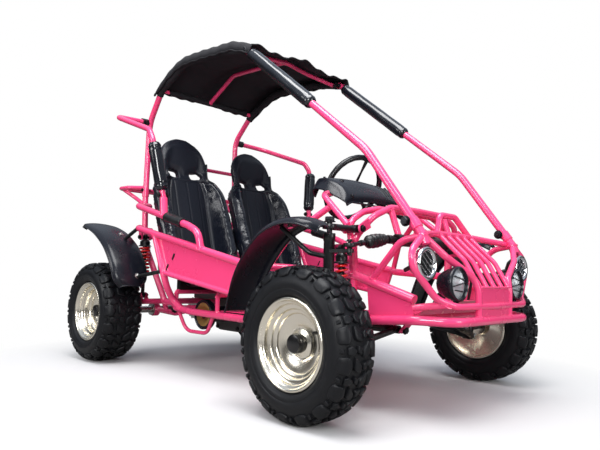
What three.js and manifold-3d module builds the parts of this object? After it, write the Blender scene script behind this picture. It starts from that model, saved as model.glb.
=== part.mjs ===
import * as THREE from "three";
import { mergeVertices } from "three/addons/utils/BufferGeometryUtils.js";
import Module from "manifold-3d";

// A two-seat off road go kart in millimetres. +Z is up, the nose points to -Y,
// the driver sits on the +X side and the origin lies on the ground in the middle of the kart.

const wasm = await Module();
wasm.setup();
const { Manifold, Mesh: SolidMesh } = wasm;
const { Vector3 } = THREE;

// Driving sizes. Places on the frame are shares of the cabin length.
const cabinLength = 1000;
const runningGap = 0.3;
const seamGap = 0.36;
const cutOverrun = 3;
const axleYShare = 0.615;
const axleHeightShare = 0.203;
const frontTrackHalfShare = 0.48;
const rearTrackHalfShare = 0.448;
const noseReachShare = 0.919;
const tailReachShare = 0.829;

// Tube sizes of the welded frame.
const railRadius = 13;
const pillarRadius = 12.5;
const armRadius = 15;
const armTubeRadius = 13;
const collarRadius = 14.5;
const noseRadius = 9.5;
const grilleRadius = 7;
const towerRadius = 10;
const legRadius = 13.5;
const guardRadius = 11.5;
const rackRadius = 9;
const sheetThickness = 3;

// Wheels.
const rimRadius = 118;
const tyreSection = 85;
const tyreRadius = rimRadius + tyreSection;
const frontTyreWidth = 130;
const rearTyreWidth = 168;
const treadDepth = 8;
const hubRadius = 30;
const capRadius = 24;
const axleRadius = 15;

// Finishes.
const paints = {
  pink: [0xf0447f, 0.28, 0.1],
  black: [0x16171a, 0.5, 0.0],
  vinyl: [0x14151a, 0.35, 0.0],
  rubber: [0x1a1b1d, 0.8, 0.0],
  cloth: [0x121215, 0.9, 0.0],
  silver: [0xc9cacc, 0.3, 0.9],
  chrome: [0xe6e8ea, 0.12, 1.0],
  red: [0xd8201e, 0.35, 0.1],
  grey: [0x55585c, 0.5, 0.6],
};

function finish(name) {
  const [color, roughness, metalness] = paints[name];
  return new THREE.MeshStandardMaterial({ color, roughness, metalness });
}

// A closed geometry as a solid, facing out. Points nearer than the merge distance become one.
const mergeDistance = 1e-4;
function solid(geometry) {
  const bare = geometry.clone();
  for (const name of Object.keys(bare.attributes)) {
    if (name !== "position") bare.deleteAttribute(name);
  }
  const merged = mergeVertices(bare, mergeDistance);
  const vertProperties = Float32Array.from(merged.attributes.position.array);
  const triVerts = Uint32Array.from(merged.index.array);
  const made = new Manifold(new SolidMesh({ numProp: 3, vertProperties, triVerts }));
  if (made.volume() >= 0) return made;
  for (let i = 0; i < triVerts.length; i += 3) {
    [triVerts[i + 1], triVerts[i + 2]] = [triVerts[i + 2], triVerts[i + 1]];
  }
  return new Manifold(new SolidMesh({ numProp: 3, vertProperties, triVerts }));
}

// A solid as a geometry, without edges that stray less than the tolerance from flat.
const facetTolerance = 0.16;

function geometryOf(body) {
  const mesh = body.simplify(facetTolerance).getMesh();
  const positions = new Float32Array(mesh.numVert * 3);
  for (let i = 0; i < mesh.numVert; i++) {
    positions.set(mesh.vertProperties.subarray(i * mesh.numProp, i * mesh.numProp + 3), i * 3);
  }
  const geometry = new THREE.BufferGeometry();
  geometry.setAttribute("position", new THREE.BufferAttribute(positions, 3));
  geometry.setIndex(new THREE.BufferAttribute(Uint32Array.from(mesh.triVerts), 1));
  geometry.computeVertexNormals();
  return geometry;
}

function join(bodies) {
  return bodies.reduce((sum, body) => sum.add(body));
}

const kart = new THREE.Group();

// Room round a piece: its tubes and plates are made larger by the seam and cut out of what meets it.
let growth = 0;
function grown(make, ...values) {
  growth = seamGap;
  const body = make(...values);
  growth = 0;
  return body;
}

function add(name, body, paint, parent = kart) {
  const geometry = body.isBufferGeometry ? body : geometryOf(body);
  const mesh = new THREE.Mesh(geometry, finish(paint));
  mesh.name = name;
  parent.add(mesh);
  return mesh;
}

// Shares of the cabin length become places; side is -1 for the kart's right and 1 for its left.
function place(share, side = 1) {
  return new Vector3(share[0] * side, share[1], share[2]).multiplyScalar(cabinLength);
}

function route(shares, side = 1) {
  return shares.map((share) => place(share, side));
}

// A route from the kart's right through its middle, the last share, to its left.
function loop(shares) {
  const half = shares.slice(0, -1);
  return [...route(half, -1), place(shares[half.length]), ...route(half).reverse()];
}

// A path through corners that are rounded off, with stations only where the tube bends.
class BentPath extends THREE.Curve {
  constructor(corners, bend) {
    super();
    this.stations = [];
    const last = corners.length - 1;
    const along = (i) => corners[i + 1].clone().sub(corners[i]).normalize();
    this.stations.push([corners[0], along(0)]);
    for (let i = 1; i < last; i++) this.turn(corners, i, along(i - 1), along(i), bend);
    this.stations.push([corners[last], along(last - 1)]);
  }

  turn(corners, i, before, after, bend) {
    const angle = before.angleTo(after);
    if (angle < mitreAngle) {
      this.stations.push([corners[i], before.clone().add(after).normalize()]);
      return;
    }
    const room = Math.min(
      corners[i].distanceTo(corners[i - 1]),
      corners[i].distanceTo(corners[i + 1]),
    );
    const reach = Math.min(bend * Math.tan(angle / 2), room * bendRoomShare);
    const from = corners[i].clone().addScaledVector(before, -reach);
    const to = corners[i].clone().addScaledVector(after, reach);
    const arc = new THREE.QuadraticBezierCurve3(from, corners[i], to);
    const steps = Math.max(1, Math.round(angle / stepAngle));
    for (let k = 0; k <= steps; k++) {
      this.stations.push([arc.getPoint(k / steps), arc.getTangent(k / steps)]);
    }
  }

  get steps() {
    return this.stations.length - 1;
  }

  getPoint(t) {
    const s = t * this.steps;
    const i = Math.min(Math.floor(s), this.steps - 1);
    return this.stations[i][0].clone().lerp(this.stations[i + 1][0], s - i);
  }

  getPointAt(u) {
    return this.stations[Math.round(u * this.steps)][0].clone();
  }

  getTangentAt(u) {
    return this.stations[Math.round(u * this.steps)][1].clone();
  }
}
const bendRoomShare = 0.48;
const stepAngle = Math.PI / 3.6;
const mitreAngle = Math.PI / 5.5;

function ring(radius, sides, turn = 0) {
  const points = [];
  for (let i = 0; i < sides; i++) {
    const a = (2 * Math.PI * (i + turn)) / sides;
    points.push(new THREE.Vector2(radius * Math.cos(a), radius * Math.sin(a)));
  }
  return points;
}

const tubeSides = 8;
const thinTubeSides = 6;
const thinTubeRadius = 14.2;
const slimTubeSides = 5;
const slimTubeRadius = 12.2;
const lugSides = 4;
const wideBend = 70;
const fineSides = 12;
const roundSides = 8;
const hexSides = 6;

function tube(corners, radius, bend = wideBend, sides = 0) {
  const route = corners.map((p) => p.clone());
  const last = route.length - 1;
  route[0].addScaledVector(corners[0].clone().sub(corners[1]).normalize(), growth);
  route[last].addScaledVector(corners[last].clone().sub(corners[last - 1]).normalize(), growth);
  const path = new BentPath(route, bend);
  const plain = radius < thinTubeRadius ? thinTubeSides : tubeSides;
  const count = sides || (radius < slimTubeRadius ? slimTubeSides : plain);
  const shape = new THREE.Shape(ring(radius + growth, count));
  return solid(
    new THREE.ExtrudeGeometry(shape, { steps: path.steps, bevelEnabled: false, extrudePath: path }),
  );
}

// A straight round bar between two places.
function bar(from, to, radius, sides = 0) {
  return tube([from, to], radius, wideBend, sides);
}

function box(size, centre) {
  return solid(new THREE.BoxGeometry(size.x, size.y, size.z).translate(centre.x, centre.y, centre.z));
}

// The radius of a many-sided hole that clears a pin turning in it.
function fit(radius, sides = boreSides) {
  return (radius + runningGap) / Math.cos(Math.PI / sides);
}

// A body turned on the X axis from a closed profile of [radius, along X].
function turned(profile, segments) {
  const points = profile.map(([r, x]) => new THREE.Vector2(r, x));
  return solid(new THREE.LatheGeometry(points, segments).rotateZ(-Math.PI / 2));
}

// A solid between two grids of places, closed round its four edges.
function between(front, back) {
  const rows = front.length;
  const columns = front[0].length;
  const positions = [...front.flat(), ...back.flat()].flatMap((p) => [p.x, p.y, p.z]);
  const index = [];
  const at = (layer, i, j) => layer * rows * columns + i * columns + j;
  const face = (a, b, c, d) => index.push(a, b, c, a, c, d);
  for (let i = 0; i < rows - 1; i++) {
    for (let j = 0; j < columns - 1; j++) {
      face(at(0, i, j), at(0, i + 1, j), at(0, i + 1, j + 1), at(0, i, j + 1));
      face(at(1, i, j), at(1, i, j + 1), at(1, i + 1, j + 1), at(1, i + 1, j));
    }
    face(at(0, i, 0), at(1, i, 0), at(1, i + 1, 0), at(0, i + 1, 0));
    const j = columns - 1;
    face(at(0, i + 1, j), at(1, i + 1, j), at(1, i, j), at(0, i, j));
  }
  for (let j = 0; j < columns - 1; j++) {
    face(at(0, 0, j + 1), at(1, 0, j + 1), at(1, 0, j), at(0, 0, j));
    const i = rows - 1;
    face(at(0, i, j), at(1, i, j), at(1, i, j + 1), at(0, i, j + 1));
  }
  const geometry = new THREE.BufferGeometry();
  geometry.setAttribute("position", new THREE.Float32BufferAttribute(positions, 3));
  geometry.setIndex(index);
  return solid(geometry);
}

// A flat plate through a polygon of places, of the sheet's thickness.
function plate(outline, thickness, across) {
  const middle = outline.reduce((sum, p) => sum.add(p), new Vector3()).divideScalar(outline.length);
  const corners = outline.map((p) => p.clone().add(p.clone().sub(middle).setLength(2 * growth)));
  const half = across.clone().setLength(thickness / 2 + growth);
  const front = [corners.map((p) => p.clone().add(half)), corners.map((p) => p.clone().sub(half))];
  const n = corners.length;
  const positions = front.flat().flatMap((p) => [p.x, p.y, p.z]);
  const index = [];
  for (let i = 1; i < n - 1; i++) index.push(0, i, i + 1, n, n + i + 1, n + i);
  for (let i = 0; i < n; i++) {
    const k = (i + 1) % n;
    index.push(i, n + i, n + k, i, n + k, k);
  }
  const geometry = new THREE.BufferGeometry();
  geometry.setAttribute("position", new THREE.Float32BufferAttribute(positions, 3));
  geometry.setIndex(index);
  return solid(geometry);
}

const right = -1;
const left = 1;
const sides = [
  ["right", right],
  ["left", left],
];
const acrossX = new Vector3(1, 0, 0);
const acrossY = new Vector3(0, 1, 0);
const acrossZ = new Vector3(0, 0, 1);

// Lower frame: two rails under the floor, cross tubes, the nose bumper and the seat cross tubes.
const railShares = [
  [0.256, 0.45, 0.248],
  [0.256, 0.36, 0.244],
  [0.33, 0.24, 0.236],
  [0.33, 0.13, 0.228],
  [0.33, -0.2, 0.224],
  [0.262, -0.33, 0.232],
  [0.262, -0.81, 0.268],
  [0.205, -0.905, 0.266],
  [0, -0.905, 0.266],
];
const crossShares = [
  [0.262, -0.74, 0.263],
  [0.262, -0.49, 0.244],
  [0.32, -0.22, 0.2255],
  [0.33, 0.2, 0.233],
  [0.256, 0.44, 0.2475],
];
const skidShares = [
  [0.32, 0.245, 0.236],
  [0.305, 0.2, 0.15],
  [0.305, 0.06, 0.152],
  [0.32, 0.005, 0.226],
];
const cradleShares = [
  [0.256, 0.66, 0.7],
  [0.256, 0.645, 0.5],
  [0.256, 0.45, 0.25],
];
const skidRadius = 7;
const crossRadius = 12;
const swingBoltShare = [0.292, 0.3, 0.226];
const swingBoltRadius = 7;
const swingPivotHalfShare = 0.235;
const swingCollar = 12;
const swingPivotRadius = 15;
const armSleeveRadius = 12;
const armSleeveHalf = 80;
const boreSides = 6;
const seatTubeShares = [
  [0.33, 0.24],
  [0.33, -0.03],
];
const seatTubeZShare = 0.298;
const seatPostFootShare = 0.232;
const seatPostRadius = 9;
const shockBoltRadius = 5;
const shockBoltHalf = 22;

// Lower arm pivots: a keel tube each side with two lugs and a long bolt.
const lowerPivotShare = [0.165, -0.615, 0.228];
const lowerPivotHalf = 95;
const pivotLugRoots = [crossShares[0], crossShares[1]];
const pivotBoltRadius = 6;
const lugRadius = 8;

function lowerFrame() {
  const bodies = [];
  for (const [, side] of sides) {
    const pivot = place(lowerPivotShare, side);
    const ends = [-lowerPivotHalf, lowerPivotHalf].map((dy) => pivot.clone().add(new Vector3(0, dy, 0)));
    bodies.push(bar(ends[0], ends[1], pivotBoltRadius, boreSides));
    for (const turn of [right, left]) {
      const face = pivot.clone().addScaledVector(acrossY, turn * (armSleeveHalf + seamGap));
      const end = pivot.clone().addScaledVector(acrossY, turn * lowerPivotHalf);
      bodies.push(bar(face, end, armSleeveRadius, boreSides));
    }
    ends.forEach((p, i) => {
      const [, y, z] = pivotLugRoots[i];
      bodies.push(bar(p, place([lowerPivotShare[0], y, z], side), lugRadius, lugSides));
    });
  }
  for (const [, side] of sides) {
    bodies.push(tube(route(skidShares, side), skidRadius));
    bodies.push(tube(route(cradleShares, side), railRadius));
  }
  bodies.push(tube(loop(railShares), railRadius));
  for (const share of crossShares) {
    bodies.push(bar(place(share, right), place(share, left), crossRadius));
  }
  const swingBolt = [right, left].map((side) => place(swingBoltShare, side));
  bodies.push(bar(swingBolt[0], swingBolt[1], swingBoltRadius, boreSides));
  for (const [, side] of sides) {
    const face = place([swingPivotHalfShare, ...swingBoltShare.slice(1)], side);
    face.addScaledVector(acrossX, side * seamGap);
    const end = face.clone().addScaledVector(acrossX, side * swingCollar);
    bodies.push(bar(face, end, swingPivotRadius, boreSides));
  }
  for (const [x, y] of seatTubeShares) {
    bodies.push(bar(place([-x, y, seatTubeZShare]), place([x, y, seatTubeZShare]), seatPostRadius));
    for (const [, side] of sides) {
      const foot = place([x, y, seatPostFootShare], side);
      bodies.push(bar(place([x, y, seatTubeZShare], side), foot, seatPostRadius, lugSides));
    }
  }
  return join(bodies);
}

// Side frames: the upper rail with its rear loop, the slotted plate and the arm rest tube.
const sideRailShares = [
  [0.256, 0.62, 0.556],
  [0.33, 0.56, 0.562],
  [0.405, 0.43, 0.549],
  [0.4, 0.2, 0.502],
  [0.392, -0.265, 0.405],
  [0.285, -0.35, 0.398],
  [0.262, -0.6, 0.384],
  [0.262, -0.81, 0.322],
];
const sideStrutShares = [
  [0.402, 0.305, 0.525],
  [0.4, 0.23, 0.372],
  [0.385, 0.226, 0.318],
  [0.348, 0.24, 0.268],
  [0.33, 0.2, 0.234],
];
const plateRailShares = [
  [0.4, 0.235, 0.372],
  [0.39, -0.225, 0.305],
  [0.39, -0.262, 0.405],
];
const plateCornerShares = [
  [0.398, 0.3, 0.52],
  [0.398, 0.225, 0.372],
  [0.392, -0.225, 0.305],
  [0.392, -0.262, 0.405],
];
const slotShares = [
  [0.396, 0.185, 0.455],
  [0.396, 0.225, 0.425],
];
const armShares = [
  [0.256, 0.655, 0.66],
  [0.31, 0.52, 0.655],
  [0.405, 0.45, 0.643],
  [0.405, 0.07, 0.547],
  [0.405, 0.0, 0.52],
  [0.4, -0.015, 0.455],
];
const sleeveShares = [
  [0.405, 0.215, 0.584],
  [0.405, 0.1, 0.555],
];
const sleeveWall = 6;
const armBend = 60;
const sidePanelShares = [
  [0.262, -0.65, 0.366],
  [0.262, -0.66, 0.262],
  [0.262, -0.81, 0.268],
  [0.262, -0.8, 0.325],
];
const postFootShares = [
  [0.405, 0.215, 0.584],
  [0.402, 0.25, 0.66],
];
const slotLength = 30;
const slotWidth = 8;
const slotLean = 0.5;
const rearShockShare = [0.3, 0.562, 0.522];
const rearShockRootShares = [
  [0.274, 0.562, 0.556],
  [0.33, 0.562, 0.56],
];
const towerLegShares = [
  [0.262, -0.6, 0.384],
  [0.262, -0.605, 0.25],
];

function sideFrame(side) {
  const bodies = [
    tube(route(sideRailShares, side), railRadius),
    tube(route(sideStrutShares, side), railRadius),
    tube(route(plateRailShares, side), seatPostRadius),
    tube(route(armShares, side), armTubeRadius, armBend),
    bar(place(sleeveShares[0], side), place(sleeveShares[1], side), armRadius + sleeveWall),
    bar(place(postFootShares[0], side), place(postFootShares[1], side), armRadius),
    bar(place(towerLegShares[0], side), place(towerLegShares[1], side), towerRadius),
    plate(route(sidePanelShares, side), sheetThickness, acrossX),
    bar(place(rearShockRootShares[0], side), place(rearShockRootShares[1], side), lugRadius),
  ];
  const shockTop = place(rearShockShare, side);
  for (const turn of [right, left]) {
    const end = shockTop.clone().addScaledVector(acrossX, turn * shockBoltHalf);
    bodies.push(bar(shockTop, end, shockBoltRadius));
    bodies.push(bar(end, end.clone().setZ(place(rearShockRootShares[0]).z), lugRadius, lugSides));
  }
  let panel = plate(route(plateCornerShares, side), sheetThickness, acrossX);
  for (const share of slotShares) {
    const slot = new THREE.BoxGeometry(slotLength, slotWidth, slotLength).rotateX(slotLean);
    panel = panel.subtract(solid(slot.translate(...place(share, side))));
  }
  bodies.push(panel);
  return join(bodies);
}

// Nose: the loops round the lamps, the slanted grille, the square plate and the hood rails.
const outerLoopShares = [
  [0.267, -0.838, 0.492],
  [0.33, -0.845, 0.45],
  [0.331, -0.85, 0.405],
  [0.25, -0.87, 0.325],
  [0.205, -0.9, 0.306],
  [0, -0.91, 0.306],
];
const innerLoopShares = [
  [0.267, -0.838, 0.492],
  [0.206, -0.87, 0.437],
  [0.105, -0.895, 0.385],
  [0.094, -0.905, 0.352],
  [0.091, -0.905, 0.266],
];
const gillTopShares = [-0.09, -0.045, 0, 0.045, 0.09];
const gillYZShares = [
  [-0.776, 0.51],
  [-0.862, 0.43],
  [-0.905, 0.356],
];
const noseTopShares = [
  [0.262, -0.815, 0.497],
  [0.09, -0.776, 0.51],
  [0, -0.776, 0.51],
];
const hoopShares = [
  [-0.07, -0.76, 0.51],
  [-0.055, -0.76, 0.57],
  [0.03, -0.76, 0.57],
  [0.09, -0.776, 0.51],
];
const nosePlateShares = [
  [0.094, -0.907, 0.358],
  [-0.094, -0.907, 0.358],
  [-0.092, -0.907, 0.27],
  [0.092, -0.907, 0.27],
];
const diagonalShares = [
  [0.267, -0.838, 0.492],
  [0.268, -0.77, 0.48],
  [0.262, -0.663, 0.366],
];
const noseLegShares = [
  [0.262, -0.805, 0.3],
  [0.225, -0.89, 0.312],
];
const hoopBend = 20;
const nosePlateThickness = 6;
const collarShares = [
  [0.267, -0.846, 0.468],
  [0.267, -0.838, 0.492],
];

function noseFrame() {
  const bodies = [];
  for (const [, side] of sides) {
    bodies.push(tube(route(innerLoopShares, side), noseRadius));
    bodies.push(tube(route(diagonalShares, side), noseRadius));
    bodies.push(tube(route(noseLegShares, side), noseRadius));
    bodies.push(bar(place(collarShares[0], side), place(collarShares[1], side), collarRadius));
  }
  for (const x of gillTopShares) {
    bodies.push(tube(gillYZShares.map(([y, z]) => place([x, y, z])), grilleRadius));
  }
  bodies.push(tube(loop(outerLoopShares), noseRadius));
  bodies.push(tube(loop(noseTopShares), noseRadius));
  bodies.push(tube(route(hoopShares), noseRadius, hoopBend));
  bodies.push(plate(route(nosePlateShares), nosePlateThickness, acrossY));
  return join(bodies);
}

// Tower: the arches over the steering, the thick legs that carry the shocks and the dash tubes.
const frontArchShares = [
  [0.27, -0.6, 0.41],
  [0.275, -0.612, 0.49],
  [0.235, -0.645, 0.555],
  [0.15, -0.648, 0.59],
  [0, -0.648, 0.592],
];
const rearArchShares = [
  [0.27, -0.6, 0.44],
  [0.27, -0.585, 0.54],
  [0.21, -0.59, 0.575],
  [0.15, -0.6, 0.588],
  [0, -0.6, 0.59],
];
const legShares = [
  [0.27, -0.6, 0.47],
  [0.262, -0.6, 0.39],
];
const dashShares = [
  [0.27, -0.5875, 0.523],
  [0.24, -0.455, 0.63],
  [0.2, -0.42, 0.645],
  [0.12, -0.42, 0.665],
  [0, -0.42, 0.665],
];
const dashBraceShares = [
  [0.236, -0.49, 0.602],
  [0.3, -0.36, 0.5],
  [0.335, -0.31, 0.408],
];
const rackZShare = 0.489;
const rackYShare = -0.68;
const clampXShare = 0.15;
const clampShares = [
  [clampXShare, -0.648, 0.585],
  [clampXShare, -0.677, 0.504],
];

const upperPivotShare = [0.292, -0.62, 0.515];
const upperPivotHalf = 30;
const upperLugShares = [
  [0.27, -0.59, 0.525],
  [0.25, -0.644, 0.535],
];
const frontShockShare = [0.335, -0.615, 0.455];
const frontShockLugShares = [
  [0.27, -0.6, 0.46],
  [0.27, -0.612, 0.475],
];
const wheelCentreShare = [0.205, -0.2, 0.735];
const columnFootShare = [0.13, -0.655, 0.5];
const columnRadius = 9;
const columnRoomRadius = 13.5;
const columnRingShare = 0.4835;
const columnRingRadius = 15;
const columnRingHalf = 12;
const ringHangerYZShare = [-0.42, 0.655];
const dashBend = 40;
const columnAxis = place(columnFootShare).sub(place(wheelCentreShare)).normalize();

// A bracket each side: a bolt along Y or X between two lugs that reach back to the frame.
function boltBracket(centre, along, half, roots, boltRadius, reach) {
  const ends = [-half, half].map((d) => centre.clone().addScaledVector(along, d));
  const bodies = [bar(ends[0], ends[1], boltRadius, boreSides)];
  ends.forEach((end, i) => bodies.push(bar(end, roots[i], reach, lugSides)));
  return bodies;
}

function towerFrame() {
  const ringCentre = place(wheelCentreShare).lerp(place(columnFootShare), columnRingShare);
  const ringHanger = ringCentre.clone().setZ(ringCentre.z + columnRadius + runningGap + lugRadius);
  const bodies = [bar(ringHanger, place([ringCentre.x / cabinLength, ...ringHangerYZShare]), lugRadius)];
  const collar = bar(
    ringCentre.clone().addScaledVector(columnAxis, -columnRingHalf),
    ringCentre.clone().addScaledVector(columnAxis, columnRingHalf),
    columnRingRadius,
    boreSides,
  );
  const bore = bar(place(wheelCentreShare), place(columnFootShare), fit(columnRadius), boreSides);
  bodies.push(collar);
  bodies.push(tube(loop(frontArchShares), towerRadius));
  bodies.push(tube(loop(rearArchShares), towerRadius));
  bodies.push(tube(loop(dashShares), towerRadius, dashBend));
  for (const [, side] of sides) {
    bodies.push(
      ...boltBracket(
        place(upperPivotShare, side),
        acrossY.clone().negate(),
        upperPivotHalf,
        route(upperLugShares, side),
        shockBoltRadius,
        lugRadius,
      ),
      ...boltBracket(
        place(frontShockShare, side),
        acrossY.clone().negate(),
        shockBoltHalf,
        route(frontShockLugShares, side),
        shockBoltRadius,
        lugRadius,
      ),
    );
    bodies.push(bar(place(legShares[0], side), place(legShares[1], side), legRadius));
    bodies.push(tube(route(dashBraceShares, side), towerRadius));
    bodies.push(bar(place(clampShares[0], side), place(clampShares[1], side), towerRadius));
  }
  return join(bodies).subtract(bore);
}

const lower = lowerFrame();
add("lower_frame", lower, "pink");

const lowerGrown = grown(lowerFrame);
const sideFrames = {};
for (const [name, side] of sides) {
  sideFrames[name] = sideFrame(side).subtract(lowerGrown);
  add("side_frame_" + name, sideFrames[name], "pink");
}

const sideGrown = join(sides.map(([, side]) => grown(sideFrame, side)));
const nose = noseFrame().subtract(lowerGrown).subtract(sideGrown);
add("nose_frame", nose, "pink");
const noseGrown = grown(noseFrame);
const tower = towerFrame().subtract(lowerGrown).subtract(sideGrown).subtract(noseGrown);
add("tower_frame", tower, "pink");
const weldment = join([lowerGrown, sideGrown, noseGrown, grown(towerFrame)]);

// Roll hoop: two side tubes that rise behind the seats and arch forward over them, a spine between,
// a bow at the front, a hem bar at the back and the bar behind the seats.
const hoopSideShares = [
  [0.256, 0.66, 0.7],
  [0.254, 0.663, 0.925],
  [0.251, 0.663, 1.063],
  [0.262, 0.549, 1.192],
  [0.265, 0.37, 1.27],
  [0.264, 0.1, 1.252],
  [0.263, -0.055, 1.214],
];
const hoopSideBend = 120;
const hoopBarShares = [
  [[0.254, 0.663, 0.89], [-0.254, 0.663, 0.89]],
  [[0.262, 0.549, 1.192], [-0.262, 0.549, 1.192]],
];
const spineShares = [
  [0, 0.549, 1.192],
  [0, 0.365, 1.289],
  [0, 0.164, 1.277],
  [0, 0.01, 1.26],
];
const bowShares = [
  [0.263, -0.03, 1.219],
  [0.12, 0.005, 1.243],
  [0, 0.01, 1.26],
];

function rollHoop() {
  const bodies = [];
  for (const [, side] of sides) {
    bodies.push(tube(route(hoopSideShares, side), railRadius, hoopSideBend));
    bodies.push(tube(route(bowShares, side), rackRadius));
  }
  for (const [from, to] of hoopBarShares) {
    bodies.push(bar(place(from), place(to), rackRadius));
  }
  bodies.push(tube(route(spineShares), rackRadius));
  return join(bodies);
}
const hoop = rollHoop().subtract(weldment);
add("roll_hoop", hoop, "pink");
const hoopGrown = grown(rollHoop);

// Windscreen pillars, each with a padded sleeve.
const pillarShares = [
  [0.2675, -0.8385, 0.4925],
  [0.271, -0.644, 0.75],
  [0.263, -0.412, 0.935],
  [0.263, -0.058, 1.218],
];
const pillarPadShares = [
  [0.263, -0.412, 0.935],
  [0.263, -0.085, 1.196],
];
const pillarBend = 200;
const padRadius = 21;
const guardPadRadius = 22;
const clampBoltShare = [0.269, -0.796, 0.53];
const clampBoltRadius = 7;
const clampBoltReach = 24;
for (const [name, side] of sides) {
  const bolt = place(clampBoltShare, side);
  const pillar = join([
    tube(route(pillarShares, side), pillarRadius, pillarBend),
    bar(place(pillarPadShares[0], side), place(pillarPadShares[1], side), padRadius, roundSides),
    bar(
      bolt.clone().addScaledVector(acrossX, -clampBoltReach),
      bolt.clone().addScaledVector(acrossX, clampBoltReach),
      clampBoltRadius,
    ),
  ]);
  add("pillar_" + name, pillar.subtract(weldment).subtract(hoopGrown), "pink");
}

// Guard bars beside the seats: from the hoop out and forward, then down through a pad to the arm tube.
const guardShares = [
  [0.251, 0.663, 1.063],
  [0.43, 0.636, 1.05],
  [0.438, 0.323, 0.938],
  [0.44, 0.29, 0.895],
  [0.403, 0.25, 0.66],
];
const guardPadShares = [
  [0.4385, 0.281, 0.88],
  [0.4065, 0.255, 0.69],
];
const guardBend = 60;
const bushRadius = 15;
const bushShares = [
  [0.265, 0.661, 1.062],
  [0.295, 0.656, 1.06],
];
for (const [name, side] of sides) {
  const guard = join([
    tube(route(guardShares, side), guardRadius, guardBend),
    bar(place(guardPadShares[0], side), place(guardPadShares[1], side), guardPadRadius, roundSides),
    bar(place(bushShares[0], side), place(bushShares[1], side), bushRadius, hexSides),
  ]);
  add("guard_bar_" + name, guard.subtract(weldment).subtract(hoopGrown), "pink");
}

// Rear rack behind the seats: a loop tube with a cross bar and two stays.
const rackShares = [
  [0.256, 0.663, 0.757],
  [0.31, 0.72, 0.757],
  [0.31, 0.815, 0.76],
  [0, 0.815, 0.76],
];
const rackStayShares = [
  [0.3, 0.79, 0.755],
  [0.27, 0.72, 0.71],
  [0.256, 0.66, 0.675],
];
const rackBarShare = [0.31, 0.74, 0.757];
const rackBend = 30;
const rackBars = [tube(loop(rackShares), rackRadius, rackBend)];
for (const [, side] of sides) {
  rackBars.push(tube(route(rackStayShares, side), rackRadius));
}
rackBars.push(bar(place(rackBarShare, right), place(rackBarShare, left), rackRadius));
add("rear_rack", join(rackBars).subtract(weldment).subtract(hoopGrown), "pink");

// Floor pan: a folded sheet from the nose to the seats, resting on the cross tubes.
const floorRowShares = [
  [0.2, -0.835, 0.305],
  [0.235, -0.8, 0.2676],
  [0.235, -0.49, 0.244],
  [0.27, -0.22, 0.2255],
  [0.295, 0, 0.2255],
];
const pedalXShares = [0.14, 0.225];
const pedalPivotShare = [-0.7, 0.295];
const pedalFootZShare = 0.26;
const pedalBoltRadius = 4;
const pedalBoltHalf = 16;
const pedalLugRadius = 5;
const floorAcrossShares = [-1, 1];
const floorBite = 0.9;
{
  const lift = new Vector3(0, 0, crossRadius - floorBite + sheetThickness);
  const across = ([half, y, z]) => floorAcrossShares.map((s) => place([s * half, y, z]).add(lift));
  const top = floorRowShares.map(across);
  const under = top.map((row) => row.map((p) => p.clone().addScaledVector(acrossZ, -sheetThickness)));
  const bodies = [between(top, under).subtract(weldment)];
  for (const x of pedalXShares) {
    const pivot = place([x, ...pedalPivotShare]);
    const ends = [right, left].map((turn) => pivot.clone().addScaledVector(acrossX, turn * pedalBoltHalf));
    bodies.push(bar(ends[0], ends[1], pedalBoltRadius, boreSides));
    const foot = pedalFootZShare * cabinLength + lift.z - sheetThickness / 2;
    for (const end of ends) bodies.push(bar(end, end.clone().setZ(foot), pedalLugRadius, lugSides));
  }
  add("floor_pan", join(bodies), "pink");
}

// Seats: two buckets, each a padded shell that runs from the thigh edge up to the head rest.
// Each row of the spine holds its place along Y and Z, its half width, and how far its sides wrap forward.
const seatSpineShares = [
  [-0.1, 0.36, 0.165, 0.015],
  [-0.06, 0.38, 0.176, 0.035],
  [0.1, 0.362, 0.178, 0.06],
  [0.24, 0.354, 0.178, 0.08],
  [0.305, 0.388, 0.178, 0.1],
  [0.345, 0.46, 0.178, 0.11],
  [0.395, 0.62, 0.178, 0.095],
  [0.42, 0.71, 0.174, 0.076],
  [0.434, 0.765, 0.15, 0.05],
  [0.441, 0.795, 0.115, 0.032],
  [0.452, 0.865, 0.116, 0.03],
  [0.462, 0.93, 0.098, 0.026],
  [0.465, 0.967, 0.06, 0.018],
];
const seatAcrossShares = [-1, -0.84, -0.54, -0.25, 0, 0.25, 0.54, 0.84, 1];
const seatWrapShares = [0.65, 1, 0.08, 0.17, 0.2, 0.17, 0.08, 1, 0.65];
const seatXShare = 0.194;
const seatThickness = 34;
const seatShell = 4;
const headSlotShares = [
  [-0.062, 0.44, 0.806],
  [0.058, 0.44, 0.806],
];
const headSlotWidth = 52;
const headSlotHeight = 24;
const seatFootDrop = seatTubeZShare * cabinLength + seatPostRadius / 2;
const seatFeetYShares = [0.24, -0.03];
const seatFootTopShare = 0.36;
const seatFootWidth = 260;
const seatFootDepth = 26;

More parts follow.
